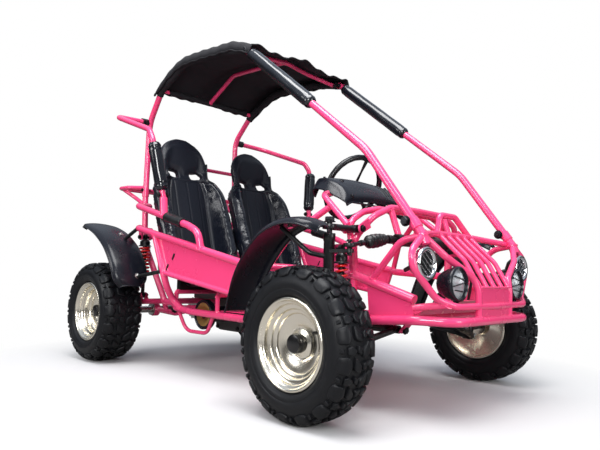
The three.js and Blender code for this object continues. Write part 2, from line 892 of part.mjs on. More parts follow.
function seat(side) {
  const front = [];
  const back = [];
  seatSpineShares.forEach(([y, z, half, wrap], i) => {
    const from = seatSpineShares[Math.max(i - 1, 0)];
    const to = seatSpineShares[Math.min(i + 1, seatSpineShares.length - 1)];
    const along = new Vector3(0, to[0] - from[0], to[1] - from[1]).normalize();
    const facing = new Vector3(0, -along.z, along.y);
    const spot = (x, depth) =>
      new Vector3(x, y * cabinLength, z * cabinLength)
        .addScaledVector(facing, depth)
        .add(new Vector3(seatXShare * side * cabinLength, 0, 0));
    const rise = (j) => seatWrapShares[j] * wrap * cabinLength;
    const sunk = (j) => Math.min(0, rise(j) - seatThickness) - seatShell;
    front.push(seatAcrossShares.map((s, j) => spot(s * half * cabinLength, rise(j))));
    back.push(seatAcrossShares.map((s, j) => spot(s * half * cabinLength, sunk(j))));
  });
  let body = between(front, back);
  for (const [x, y, z] of headSlotShares) {
    const centre = place([seatXShare * side, y, z]).add(new Vector3(x * cabinLength, 0, 0));
    body = body.subtract(box(new Vector3(headSlotWidth, cabinLength, headSlotHeight), centre));
  }
  for (const y of seatFeetYShares) {
    const top = place([seatXShare * side, y, seatFootTopShare]);
    const bottom = top.clone().setZ(seatFootDrop);
    const size = new Vector3(seatFootWidth, seatFootDepth, top.z - bottom.z);
    body = body.add(box(size, top.clone().add(bottom).divideScalar(2)));
  }
  return body;
}
for (const [name, side] of sides) add("seat_" + name, seat(side).subtract(weldment), "vinyl");

// Canopy: a sheet of cloth stretched over the arch, sagging between the tubes, with hems at its edges.
const canopyYZShares = [
  [0.578, 1.2],
  [0.552, 1.226],
  [0.47, 1.272],
  [0.37, 1.302],
  [0.25, 1.299],
  [0.12, 1.287],
  [0.02, 1.277],
  [-0.055, 1.252],
  [-0.098, 1.238],
];
const canopyAcrossShares = [-1, -0.94, -0.6, -0.3, 0, 0.3, 0.6, 0.94, 1];
const canopyDropShares = [0.045, 0.006, 0.012, 0.008, -0.01, 0.008, 0.012, 0.006, 0.045];
const canopyHalfShare = 0.292;
const canopyThickness = 5;
const canopySettle = 2.25;
{
  const top = [];
  const under = [];
  for (const [y, z] of canopyYZShares) {
    const row = canopyAcrossShares.map((s, j) =>
      place([s * canopyHalfShare, y, z - canopyDropShares[j]]).addScaledVector(acrossZ, -canopySettle),
    );
    top.push(row);
    under.push(row.map((p) => p.clone().add(new Vector3(-Math.sign(p.x), 0, -canopyThickness))));
  }
  add("canopy", between(top, under), "cloth");
}

// Moulded fenders: crowned shells that follow the wheel.
// Each row of a fender holds its place along Y and Z and its half width; the edges turn in.
const fenderAcrossShares = [-1, -0.8, 0, 0.8, 1];
const fenderLiftShares = [-1, 0, 0.4, 0, -1];
const fenderCrown = 14;

function fender(rows, xShare, axleShare, side) {
  const wheel = place([0, axleShare, axleHeightShare]);
  const layer = (sink) =>
    rows.map(([y, z, half]) => {
      const outward = place([0, y, z]).sub(wheel).normalize();
      return fenderAcrossShares.map((s, j) =>
        place([xShare + s * half, y, z], side)
          .addScaledVector(outward, fenderLiftShares[j] * fenderCrown - sink),
      );
    });
  return between(layer(0), layer(sheetThickness));
}

const rearFenderShares = [
  [0.785, 0.566, 0.018],
  [0.75, 0.574, 0.05],
  [0.66, 0.566, 0.07],
  [0.56, 0.535, 0.076],
  [0.47, 0.483, 0.077],
  [0.405, 0.415, 0.076],
  [0.375, 0.35, 0.07],
  [0.37, 0.315, 0.045],
];
const rearFenderXShare = 0.453;
const fenderStayShares = [
  [[0.408, 0.44, 0.545], [0.43, 0.5, 0.502]],
  [[0.409, 0.235, 0.375], [0.43, 0.38, 0.352]],
];
for (const [name, side] of sides) {
  const shell = fender(rearFenderShares, rearFenderXShare, axleYShare, side);
  const stays = fenderStayShares.map(([from, to]) => bar(place(from, side), place(to, side), grilleRadius));
  add("rear_fender_" + name, join([shell, ...stays]).subtract(weldment), "black");
}

// Dash cowl: a moulded hood over the dash tube with louvres on its sloping face.
const cowlShares = [
  [0.155, -0.33, 0.7],
  [0.18, -0.345, 0.722],
  [0.19, -0.4, 0.715],
  [0.186, -0.45, 0.69],
  [0.18, -0.485, 0.655],
  [0.172, -0.49, 0.632],
];
const cowlAcrossShares = [-1, -0.85, 0, 0.85, 1];
const cowlDropShares = [0.05, 0.012, 0, 0.012, 0.05];
const cowlWall = 4;
const louvreCount = 5;
const louvreShares = [0.06, -0.43, 0.7];
const louvrePitch = 17;
const louvreSize = new Vector3(6, 50, 40);
const cowlPostShares = [
  [0.12, -0.42, 0.698],
  [0.12, -0.42, 0.667],
];
{
  const top = cowlShares.map(([half, y, z]) =>
    cowlAcrossShares.map((s, j) => place([s * half, y, z - cowlDropShares[j]])),
  );
  const inward = (p) => new Vector3(-Math.sign(p.x) * cowlWall, 0, -cowlWall);
  const under = top.map((row) => row.map((p) => p.clone().add(inward(p))));
  let cowl = between(top, under);
  for (let i = 0; i < louvreCount; i++) {
    const centre = place(louvreShares).add(new Vector3(i * louvrePitch, 0, 0));
    cowl = cowl.subtract(box(louvreSize, centre));
  }
  for (const [, side] of sides) {
    cowl = cowl.add(bar(place(cowlPostShares[0], side), place(cowlPostShares[1], side), noseRadius));
  }
  const columnRoom = bar(place(wheelCentreShare), place(columnFootShare), columnRoomRadius);
  add("dash_cowl", cowl.subtract(columnRoom).subtract(weldment), "black");
}

// Head lamps: a bowl, a rim and a lens, turned about the lamp's own axis and aimed forward.
// Each profile row holds a share of the lamp's radius and a share of its depth.
const lampSegments = 10;
const lamps = {
  upper_lamp: { share: [0.28, -0.857, 0.417], radiusShare: 0.044, depthShare: 0.042, paint: "chrome" },
  lower_lamp: { share: [0.175, -0.888, 0.366], radiusShare: 0.047, depthShare: 0.055, paint: "black" },
};
const lampProfileShares = [
  [0, 1],
  [0.55, 0.9],
  [0.92, 0.2],
  [1, 0],
  [0.82, -0.1],
  [0.787, 0.08],
  [0, -0.04],
];
const lampAim = new Vector3(0, -1, 0.02).normalize();
const lampStalkRadius = 6;
const lampBackShare = 0.7;
const lampStalkShares = {
  upper_lamp: [0.262, -0.78, 0.4],
  lower_lamp: [0.175, -0.888, 0.31],
};
for (const [name, side] of sides) {
  for (const [lamp, size] of Object.entries(lamps)) {
    const radius = size.radiusShare * cabinLength;
    const depth = size.depthShare * cabinLength;
    const profile = lampProfileShares.map(([r, x]) => new THREE.Vector2(r * radius, x * depth));
    const bowl = new THREE.LatheGeometry(profile, lampSegments);
    const turn = new THREE.Quaternion().setFromUnitVectors(acrossY.clone().negate(), lampAim);
    const centre = place(size.share, side);
    const body = solid(bowl.applyQuaternion(turn).translate(...centre));
    const back = centre.clone().addScaledVector(lampAim, -depth * lampBackShare);
    const stalk = bar(back, place(lampStalkShares[lamp], side), lampStalkRadius);
    add(lamp + "_" + name, body.add(stalk).subtract(weldment), size.paint);
  }
}

// Engine below and behind the seats: crankcase, finned cylinder, fan housing, tank and silencer in one unit.
const engineShares = {
  case: [[0.24, 0.1677, 0.13], [-0.06, 0.10385, 0.215]],
  bridge: [[0.1, 0.3, 0.022], [-0.05, 0.32, 0.2713]],
  riser: [[0.1, 0.03, 0.2], [-0.05, 0.455, 0.365]],
  head: [[0.15, 0.12, 0.12], [0, 0.505, 0.4]],
  tank: [[0.3, 0.15, 0.11], [0, 0.52, 0.53]],
  neck: [[0.1, 0.08, 0.03], [0, 0.5, 0.47]],
};
const finCount = 5;
const finShare = [0.19, 0.15, 0.009];
const finFirstShare = [0, 0.512, 0.352];
const finPitchShare = 0.023;
const coverShare = [-0.285, 0.107, 0.218];
const coverRadiusShare = 0.056;
const coverHalfShare = 0.013;
const coverStemShare = [-0.17, 0.107, 0.218];
const mufflerShares = [
  [-0.16, 0.655, 0.4],
  [0.16, 0.655, 0.4],
];
const mufflerRadiusShare = 0.045;
const exhaustShares = [
  [0.06, 0.54, 0.4],
  [0.06, 0.64, 0.4],
];
const exhaustRadius = 12;
const mufflerSides = 10;
const coverSides = 14;
{
  const bodies = Object.values(engineShares).map(([size, centre]) => box(place(size), place(centre)));
  for (let i = 0; i < finCount; i++) {
    const centre = place(finFirstShare).add(place([0, 0, i * finPitchShare]));
    bodies.push(box(place(finShare), centre));
  }
  const mufflerRadius = mufflerRadiusShare * cabinLength;
  bodies.push(bar(place(mufflerShares[0]), place(mufflerShares[1]), mufflerRadius, mufflerSides));
  bodies.push(bar(place(exhaustShares[0]), place(exhaustShares[1]), exhaustRadius));
  const cover = place(coverShare);
  const face = (turn) => cover.clone().addScaledVector(acrossX, turn * coverHalfShare * cabinLength);
  bodies.push(bar(face(right), face(left), coverRadiusShare * cabinLength, coverSides));
  bodies.push(bar(cover, place(coverStemShare), hubRadius, roundSides));
  add("engine", join(bodies).subtract(weldment), "grey");
}

// Steering: a rack bar that slides through its housing, a column with the wheel, and two track rods.
const rackRadiusBar = 8;
const rackHalfShare = 0.2076;
const rackEndRadius = 13;
const rackEndShare = 0.19;
const housingRadius = 19;
const housingHalfShare = 0.168;
const pinionRadius = 24;
const pinionHalf = 22;
const rackCentre = place([0, rackYShare, rackZShare]);
const alongRack = (x) => rackCentre.clone().add(new Vector3(x * cabinLength, 0, 0));
const pinionCentre = place(wheelCentreShare);
pinionCentre.addScaledVector(columnAxis, (rackCentre.y - pinionCentre.y) / columnAxis.y);
const housing = join([
  bar(alongRack(-housingHalfShare), alongRack(housingHalfShare), housingRadius, fineSides),
  bar(
    pinionCentre.clone().addScaledVector(columnAxis, -pinionHalf),
    pinionCentre.clone().addScaledVector(columnAxis, pinionHalf),
    pinionRadius,
    fineSides,
  ),
]);
const rackBore = bar(alongRack(-rackHalfShare), alongRack(rackHalfShare), rackRadiusBar + seamGap, roundSides);
const columnShaft = bar(
  place(wheelCentreShare),
  pinionCentre.clone().addScaledVector(columnAxis, -pinionHalf - seamGap),
  columnRadius,
  boreSides,
);
add("rack_housing", housing.subtract(rackBore).subtract(weldment), "black");
add(
  "steering_rack",
  join([
    bar(alongRack(-rackHalfShare), alongRack(rackHalfShare), rackRadiusBar, roundSides),
    bar(alongRack(rackEndShare), alongRack(rackHalfShare), rackEndRadius, roundSides),
    bar(alongRack(-rackEndShare), alongRack(-rackHalfShare), rackEndRadius, roundSides),
  ]),
  "grey",
);

const wheelRingRadius = 132;
const wheelGripRadius = 12;
const wheelHubRadius = 32;
const wheelHubDepth = 22;
const spokeRadius = 6;
const spokeAngles = [0, 2.1, 4.18];
const gripSegments = 20;
const gripSides = 5;
{
  const grip = new THREE.TorusGeometry(wheelRingRadius, wheelGripRadius, gripSides, gripSegments);
  const hub = new THREE.CylinderGeometry(wheelHubRadius, wheelHubRadius, wheelHubDepth, fineSides);
  const bodies = [solid(grip), solid(hub.rotateX(Math.PI / 2))];
  for (const a of spokeAngles) {
    const end = new Vector3(Math.sin(a), -Math.cos(a), 0).setLength(wheelRingRadius);
    bodies.push(bar(new Vector3(), end, spokeRadius));
  }
  const turn = new THREE.Quaternion().setFromUnitVectors(acrossZ, columnAxis.clone().negate());
  const geometry = geometryOf(join(bodies)).applyQuaternion(turn).translate(...place(wheelCentreShare));
  add("steering_wheel", solid(geometry).add(columnShaft).subtract(weldment), "black");
}

// Front suspension, each side: lower arm, king pin, knuckle with the fender stay, upper arm, track rod.
const kingPinXShare = 0.388;
const kingPinYShare = -0.615;
const kingPinRadius = 8;
const lowerOuterZShare = 0.17;
const upperOuterZShare = 0.515;
const armRadiusSmall = 10;
const forkHalf = 16;
const postRadius = 17;
const postTopShare = 0.496;
const postBottomShare = 0.188;
const lowerEyeRadius = 13;
const lowerEyeHalf = 5;
const upperEyeRadius = 20;
const upperEyeBore = 13;
const upperEyeHalf = 7;
const kingNutRadius = 16;
const kingWasher = 4;
const kingNutShares = [0.53, 0.543];
const steerArmShare = [0.378, -0.68, 0.447];
const steerArmRadius = 8;
const studRadius = 4;
const rodEyeZShare = 0.463;
const rodEyeRadius = 17;
const rodEyeBore = 11.8;
const rodEyeHalf = 5;
const studHeadRadius = 13;
const studHeadShares = [0.4725, 0.478];
const trackRodRadius = 6;
const rodBarrel = 6;
const trackRodStartShare = 0.214;
const bootShares = [0.218, 0.317];
const bootRadius = 18;
const bootRib = 2.5;
const bootRibs = 5;
const bootSides = 6;
const bootEndShare = 0.12;
const bootNeckShare = 0.55;
const bootStart = 4;
const stubReachShare = 0.488;
const stubRadius = 11;
const stayShares = [
  [0.388, -0.615, 0.43],
  [0.43, -0.58, 0.44],
  [0.465, -0.5, 0.512],
];
const stayBend = 30;
const upperInnerHalf = 18;
const upperStrutInner = 12;
const upperStrutOuter = 8;
const upperStrutRadius = 7;
const sleeveBoreHalf = 32;
const eyeBoreHalf = 18;
const clevisShare = [0.335, -0.615, 0.2];
const clevisHalf = 17;

// A ribbed rubber boot along X with rings that rise and fall.
function boot(from, to, radius) {
  const profile = [[0, from]];
  for (let i = 0; i <= bootRibs * 2; i++) {
    const t = i / (bootRibs * 2);
    const swell = Math.sin(Math.PI * (bootEndShare + (1 - 2 * bootEndShare) * t));
    const rib = i % 2 ? bootRib : -bootRib;
    profile.push([radius * (bootNeckShare + (1 - bootNeckShare) * swell) + rib, from + (to - from) * t]);
  }
  profile.push([0, to]);
  return turned(profile, bootSides);
}

function frontCorner(name, side) {
  const at = (share) => place(share, side);
  const pin = at([kingPinXShare, kingPinYShare, 0]);
  const onPin = (z) => pin.clone().setZ(z * cabinLength);
  const lowerOuter = onPin(lowerOuterZShare);
  const inner = at(lowerPivotShare);
  const shift = (p, axis, d) => p.clone().addScaledVector(axis, d);

  const upright = (p, half, radius) =>
    bar(shift(p, acrossZ, -half), shift(p, acrossZ, half), radius, roundSides);

  // Lower arm: a sleeve on the long bolt, two legs, a fork round the king pin's eye and a shock clevis.
  const sleeve = bar(
    shift(inner, acrossY, -armSleeveHalf),
    shift(inner, acrossY, armSleeveHalf),
    armSleeveRadius,
    roundSides,
  );
  const sleeveBore = bar(
    shift(inner, acrossY, -armSleeveHalf - cutOverrun),
    shift(inner, acrossY, armSleeveHalf + cutOverrun),
    fit(pivotBoltRadius),
    boreSides,
  );
  const lowerBodies = [];
  const clevis = at(clevisShare);
  for (const turn of [right, left]) {
    const root = shift(inner, acrossY, turn * (armSleeveHalf - armSleeveRadius));
    const fork = shift(lowerOuter, acrossY, turn * forkHalf);
    lowerBodies.push(bar(root, fork, armRadiusSmall));
    const ear = shift(clevis, acrossY, turn * clevisHalf);
    const onLeg = root.clone().lerp(fork, (clevis.x - root.x) / (fork.x - root.x));
    lowerBodies.push(bar(ear, onLeg, lugRadius, lugSides));
  }
  const crossbolt = (p, half, radius) =>
    bar(shift(p, acrossY, -half), shift(p, acrossY, half), radius, boreSides);
  lowerBodies.push(crossbolt(lowerOuter, forkHalf, pivotBoltRadius));
  lowerBodies.push(crossbolt(clevis, clevisHalf, shockBoltRadius));
  const lowerArm = join([sleeve, ...lowerBodies]).subtract(sleeveBore);
  add("lower_arm_" + name, lowerArm, "black");

  // King pin: the eye at the fork, the long pin and its nut above the upper arm.
  const eyeBore = crossbolt(lowerOuter, forkHalf, fit(pivotBoltRadius));
  const kingPin = join([
    bar(
      shift(lowerOuter, acrossY, -lowerEyeHalf),
      shift(lowerOuter, acrossY, lowerEyeHalf),
      lowerEyeRadius,
      roundSides,
    ),
    bar(lowerOuter, onPin(kingNutShares[1]), kingPinRadius, roundSides),
    bar(
      onPin(postBottomShare).addScaledVector(acrossZ, -seamGap - kingWasher),
      onPin(postBottomShare).addScaledVector(acrossZ, -seamGap),
      kingNutRadius,
      roundSides,
    ),
    bar(onPin(kingNutShares[0]), onPin(kingNutShares[1]), kingNutRadius, hexSides),
  ]).subtract(eyeBore);
  add("king_pin_" + name, kingPin, "grey");

  // Knuckle: the post on the king pin, the stub axle, the steering arm with its stud and the fender stay.
  const steerEnd = at(steerArmShare);
  const postBore = bar(
    shift(onPin(postBottomShare), acrossZ, -cutOverrun),
    shift(onPin(postTopShare), acrossZ, cutOverrun),
    fit(kingPinRadius),
    boreSides,
  );
  const hub = at([stubReachShare, -axleYShare, axleHeightShare]);
  const knuckle = join([
    bar(onPin(postBottomShare), onPin(postTopShare), postRadius, roundSides),
    bar(pin.clone().setZ(hub.z), hub, stubRadius, fineSides),
    bar(onPin(steerArmShare[2]), steerEnd, steerArmRadius, hexSides),
    bar(steerEnd, steerEnd.clone().setZ(studHeadShares[1] * cabinLength), studRadius, hexSides),
    bar(
      steerEnd.clone().setZ(studHeadShares[0] * cabinLength),
      steerEnd.clone().setZ(studHeadShares[1] * cabinLength),
      studHeadRadius,
      hexSides,
    ),
    tube(route(stayShares, side), grilleRadius, stayBend),
  ]).subtract(postBore);
  add("knuckle_" + name, knuckle, "black");

  // Upper arm: a sleeve on its bolt and a wide plate eye round the king pin.
  const upperInner = at(upperPivotShare);
  const upperOuter = onPin(upperOuterZShare);
  const upper = join([
    bar(
      shift(upperInner, acrossY, -upperInnerHalf),
      shift(upperInner, acrossY, upperInnerHalf),
      armSleeveRadius,
      roundSides,
    ),
    bar(upperInner, upperOuter, armRadiusSmall),
    bar(
      shift(upperInner, acrossY, upperStrutInner),
      shift(upperOuter, acrossY, upperStrutOuter),
      upperStrutRadius,
    ),
    bar(
      shift(upperOuter, acrossZ, -upperEyeHalf),
      shift(upperOuter, acrossZ, upperEyeHalf),
      upperEyeRadius,
      fineSides,
    ),
  ])
    .subtract(crossbolt(upperInner, sleeveBoreHalf, fit(shockBoltRadius)))
    .subtract(upright(upperOuter, eyeBoreHalf, upperEyeBore));
  add("upper_arm_" + name, upper, "black");

  // Track rod: a rod through a ribbed boot, with an eye round the steering arm's stud.
  const rodStart = alongRack(trackRodStartShare * side);
  const rodEye = steerEnd.clone().setZ(rodEyeZShare * cabinLength);
  const bellow = boot(bootStart, (bootShares[1] - bootShares[0]) * cabinLength, bootRadius);
  const turn = new THREE.Quaternion().setFromUnitVectors(acrossX, rodEye.clone().sub(rodStart).normalize());
  const bellowGeometry = geometryOf(bellow).applyQuaternion(turn).translate(...rodStart);
  const rod = join([
    bar(shift(rodStart, acrossY, -rodBarrel), shift(rodStart, acrossY, rodBarrel), rodBarrel, fineSides),
    bar(rodStart, rodEye, trackRodRadius, roundSides),
    solid(bellowGeometry),
    upright(rodEye, rodEyeHalf, rodEyeRadius),
  ]).subtract(upright(rodEye, eyeBoreHalf, rodEyeBore));
  add("track_rod_" + name, rod, "black");
}
for (const [name, side] of sides) frontCorner(name, side);

// Front fenders ride on the knuckle stays and turn with the wheels.
const frontFenderShares = [
  [-0.318, 0.268, 0.055],
  [-0.36, 0.37, 0.062],
  [-0.405, 0.435, 0.064],
  [-0.47, 0.495, 0.064],
  [-0.54, 0.525, 0.063],
  [-0.6, 0.53, 0.058],
  [-0.645, 0.52, 0.045],
  [-0.668, 0.505, 0.02],
];
const frontFenderXShare = 0.47;
for (const [name, side] of sides) {
  const shell = fender(frontFenderShares, frontFenderXShare, -axleYShare, side);
  const stay = grown(() => tube(route(stayShares, side), grilleRadius, stayBend));
  add("front_fender_" + name, shell.subtract(stay), "black");
}

// Tyres: a revolved carcass whose tread rows alternate between lug and groove round the wheel.
const tyreSegments = 20;
const tyreProfileShares = [
  [0, -0.7],
  [0.4, -0.99],
  [0.8, -0.97],
  [1, -0.8],
  [1, -0.3],
  [1, 0.3],
  [1, 0.8],
  [0.8, 0.97],
  [0.4, 0.99],
  [0, 0.7],
];
const lugRowShares = [0, 0, 0.5, 1, 1, 1, 1, 0.5, 0, 0];
const lugPhaseShares = [0, 0, 0, 0, 1, 0, 1, 1, 0, 0];
const beadRadius = rimRadius + seamGap;

function tyre(width) {
  const half = width / 2;
  const height = tyreRadius - beadRadius;
  const count = tyreProfileShares.length;
  const positions = [];
  const index = [];
  for (let k = 0; k < tyreSegments; k++) {
    const a = (2 * Math.PI * k) / tyreSegments;
    tyreProfileShares.forEach(([up, across], j) => {
      const groove = (k + lugPhaseShares[j]) % 2 ? 0 : lugRowShares[j] * treadDepth;
      const r = beadRadius + height * up - groove;
      positions.push(half * across, r * Math.cos(a), r * Math.sin(a));
    });
  }
  for (let k = 0; k < tyreSegments; k++) {
    const next = (k + 1) % tyreSegments;
    for (let j = 0; j < count; j++) {
      const m = (j + 1) % count;
      const [a, b, c, d] = [k * count + j, k * count + m, next * count + m, next * count + j];
      index.push(a, b, c, a, c, d);
    }
  }
  const geometry = new THREE.BufferGeometry();
  geometry.setAttribute("position", new THREE.Float32BufferAttribute(positions, 3));
  geometry.setIndex(index);
  return solid(geometry);
}

// A wheel's dished disc: lip, barrel, a step and the hub. Lengths along X run outward from the tyre's middle.
const dishShares = [
  [0.3, 0.1],
  [0.68, 0.2],
  [0.74, 0.4],
  [0.93, 0.5],
];
const hubDepth = 26;
const capReach = 26;
const rimStep = 8;
const rimReachShare = 0.88;

function rim(width, bore) {
  const half = width / 2;
  const face = dishShares.map(([r, x]) => [r * rimRadius, x * half]);
  const rear = [face[2][0], face[2][1] - rimStep];
  const outer = half * rimReachShare;
  const profile = [
    [0, face[0][1] + capReach],
    [capRadius, face[0][1] + capReach],
    ...face,
    [rimRadius, outer],
    [rimRadius, -outer],
    [face[3][0], -outer],
    rear,
    [hubRadius, -hubDepth],
    [bore, -hubDepth],
    [bore, hubDepth / 2],
    [0, hubDepth / 2],
  ];
  return turned(profile, tyreSegments);
}

for (const [name, side] of sides) {
  const front = new THREE.Group();
  front.position.copy(place([frontTrackHalfShare, -axleYShare, axleHeightShare], side));
  front.rotation.z = side === right ? Math.PI : 0;
  kart.add(front);
  add("front_tyre_" + name, tyre(frontTyreWidth), "rubber", front);
  add("front_rim_" + name, rim(frontTyreWidth, fit(stubRadius, tyreSegments)), "silver", front);
  const rear = new THREE.Group();
  rear.position.copy(place([rearTrackHalfShare, axleYShare, axleHeightShare], side));
  rear.rotation.z = side === right ? Math.PI : 0;
  kart.add(rear);
  add("rear_tyre_" + name, tyre(rearTyreWidth), "rubber", rear);
}

// Rear axle: one live shaft with both rear rims, the sprocket and the brake disc.
const axleEndShare = 0.468;
const sprocketXShare = 0;
const sprocketRadius = 48;
const sprocketTooth = 4;
const sprocketTeeth = 14;
const sprocketWidth = 6;
const discXShare = 0.1;
const discRadius = 52;
const discWidth = 5;
const discSides = 14;
const flangeShare = 0.02;
const flangeRadius = 26;
const swingArmXShare = 0.205;
const bearingHalf = 12;
const axleCollar = 10;
const axleBite = 1;
const axleCentre = place([0, axleYShare, axleHeightShare]);
const onAxle = (x) => axleCentre.clone().add(new Vector3(x * cabinLength, 0, 0));
{
  const teeth = ring(sprocketRadius, sprocketTeeth * 2).map((p, i) =>
    p.setLength(sprocketRadius + (i % 2 ? sprocketTooth : 0)),
  );
  const solidly = { depth: sprocketWidth, bevelEnabled: false };
  const blank = new THREE.ExtrudeGeometry(new THREE.Shape(teeth), solidly);
  const sprocket = solid(blank.rotateY(Math.PI / 2).translate(...onAxle(sprocketXShare)));
  const bodies = [
    bar(onAxle(-axleEndShare), onAxle(axleEndShare), axleRadius, fineSides),
    sprocket,
    bar(onAxle(sprocketXShare), onAxle(sprocketXShare + flangeShare), flangeRadius, roundSides),
    bar(onAxle(discXShare - flangeShare), onAxle(discXShare), flangeRadius, roundSides),
    bar(onAxle(discXShare), onAxle(discXShare + discWidth / cabinLength), discRadius, discSides),
  ];
  for (const [, side] of sides) {
    const face = onAxle(swingArmXShare * side).addScaledVector(acrossX, side * (bearingHalf + seamGap));
    bodies.push(bar(face, face.clone().addScaledVector(acrossX, side * axleCollar), flangeRadius, roundSides));
    const turn = side === right ? Math.PI : 0;
    const disc = geometryOf(rim(rearTyreWidth, axleRadius - axleBite)).rotateZ(turn);
    bodies.push(solid(disc.translate(...onAxle(rearTrackHalfShare * side))));
  }
  add("rear_axle", join(bodies), "silver");
}

// Swing arm: two arms from the pivot tube back to the bearing rings, a cross tube with the shock lugs
// and the brake caliper.
const swingTubeRadius = 12;
const swingBraceRadius = 10;
const bearingRadius = 30;
const swingCrossShare = [0.31, 0.545, 0.243];
const swingBendShare = [0.205, 0.44, 0.197];
const braceRootShare = 0.4;
const rearShockFootShare = [0.3, 0.562, 0.27];
const shockEarHalf = 13;
const shockLugRadius = 6;
const caliperShare = [0.1025, 0.57, 0.232];
const caliperSize = new Vector3(34, 44, 36);
const caliperSlot = 7;
{
  const [, pivotY, pivotZ] = swingBoltShare;
  const pivotEnds = [right, left].map((turn) => place([swingPivotHalfShare * turn, pivotY, pivotZ]));
  const bodies = [
    bar(pivotEnds[0], pivotEnds[1], swingPivotRadius, boreSides),
    bar(place(swingCrossShare, right), place(swingCrossShare, left), swingTubeRadius),
    box(caliperSize, place(caliperShare)),
  ];
  for (const [, side] of sides) {
    const root = place([swingArmXShare, pivotY, pivotZ], side);
    const end = place([swingArmXShare, axleYShare, axleHeightShare], side);
    const brace = place([swingArmXShare, swingCrossShare[1], swingCrossShare[2]], side);
    const half = new Vector3(bearingHalf, 0, 0);
    const low = place(swingBendShare, side);
    bodies.push(tube([root, low, end], swingTubeRadius));
    bodies.push(bar(low.clone().lerp(end, braceRootShare), brace, swingBraceRadius));
    bodies.push(bar(end.clone().sub(half), end.clone().add(half), bearingRadius, fineSides));
    const foot = place(rearShockFootShare, side);
    const [ears, roots] = [foot, place(swingCrossShare, side).setX(foot.x)].map((p) =>
      [right, left].map((turn) => p.clone().addScaledVector(acrossX, turn * shockEarHalf)),
    );
    bodies.push(bar(ears[0], ears[1], shockBoltRadius, boreSides));
    ears.forEach((ear, i) => bodies.push(bar(ear, roots[i], shockLugRadius, lugSides)));
  }
  const axleBore = bar(
    onAxle(-swingPivotHalfShare),
    onAxle(swingPivotHalfShare),
    fit(axleRadius, fineSides) + runningGap,
    fineSides,
  );
  const pivotBore = bar(
    pivotEnds[0].clone().addScaledVector(acrossX, -cutOverrun),
    pivotEnds[1].clone().addScaledVector(acrossX, cutOverrun),
    fit(swingBoltRadius),
    boreSides,
  );
  const discRoom = box(new Vector3(caliperSlot, 2 * discRadius, 2 * discRadius), onAxle(caliperShare[0]));
  const swing = join(bodies).subtract(axleBore).subtract(pivotBore).subtract(discRoom);
  add("swing_arm", swing, "pink");
}

// Shocks: a body with its top eye, a sliding rod with its bottom eye and a wound spring between two seats.
const shocks = {
  front_shock: { coil: 15.5, wire: 2.8, curls: 10, top: frontShockShare, foot: clevisShare, bolt: acrossY },
  rear_shock: { coil: 20, wire: 3.2, curls: 10, top: rearShockShare, foot: rearShockFootShare, bolt: acrossX },
};
const curlSteps = 8;
const curlSides = 5;
const uprightSides = 8;
const seatHeight = 4;
const springLedge = 3;
const topCapShare = 0.8;
const cylinderRadius = 9;
const rodRadius = 5;
const rodSleeveRadius = 8;
const eyeRadius = 13;
const shockEyeHalf = 6;
const footPlay = 2;
const upperSeatShare = 0.84;
const lowerSeatShare = 0.36;
const bodyEndShare = 0.54;
const rodBoreStartShare = 0.44;
const rodTopShare = 0.66;
const rodBoreEndShare = 0.8;

// The least space between the curls of a spring, measured from centre to centre on its stations.
function leastSpace(centres, wire, steps) {
  let least = Infinity;
  for (let i = 0; i < centres.length; i++) {
    for (let k = i + steps / 2; k < centres.length; k++) {
      least = Math.min(least, centres[i].distanceTo(centres[k]));
    }
  }
  return least - 2 * wire;
}

// A spring round Z, one unbroken tube whose ends run flat.
function spring(name, bottom, top, coil, wire, curls) {
  const positions = [];
  const centres = [];
  const index = [];
  const steps = curls * curlSteps;
  const rise = top - bottom - 2 * wire;
  for (let i = 0; i <= steps; i++) {
    const a = (i / curlSteps) * 2 * Math.PI;
    const outward = new Vector3(Math.cos(a), Math.sin(a), 0);
    const centre = outward.clone().multiplyScalar(coil).setZ(bottom + wire + (rise * i) / steps);
    centres.push(centre);
    for (const p of ring(wire, curlSides)) {
      const spot = centre.clone().addScaledVector(outward, p.x).addScaledVector(acrossZ, p.y);
      positions.push(...spot);
    }
  }
  for (let i = 0; i < steps; i++) {
    for (let k = 0; k < curlSides; k++) {
      const m = (k + 1) % curlSides;
      const [from, to] = [i * curlSides, (i + 1) * curlSides];
      const [a, b, c, d] = [from + k, from + m, to + m, to + k];
      index.push(a, c, b, a, d, c);
    }
  }
  for (let k = 1; k < curlSides - 1; k++) {
    const e = steps * curlSides;
    index.push(0, k, k + 1, e, e + k + 1, e + k);
  }
  const geometry = new THREE.BufferGeometry();
  geometry.setAttribute("position", new THREE.Float32BufferAttribute(positions, 3));
  geometry.setIndex(index);
  console.log(name + ": least space between curls, mm", leastSpace(centres, wire, curlSteps).toFixed(2));
  return geometry;
}

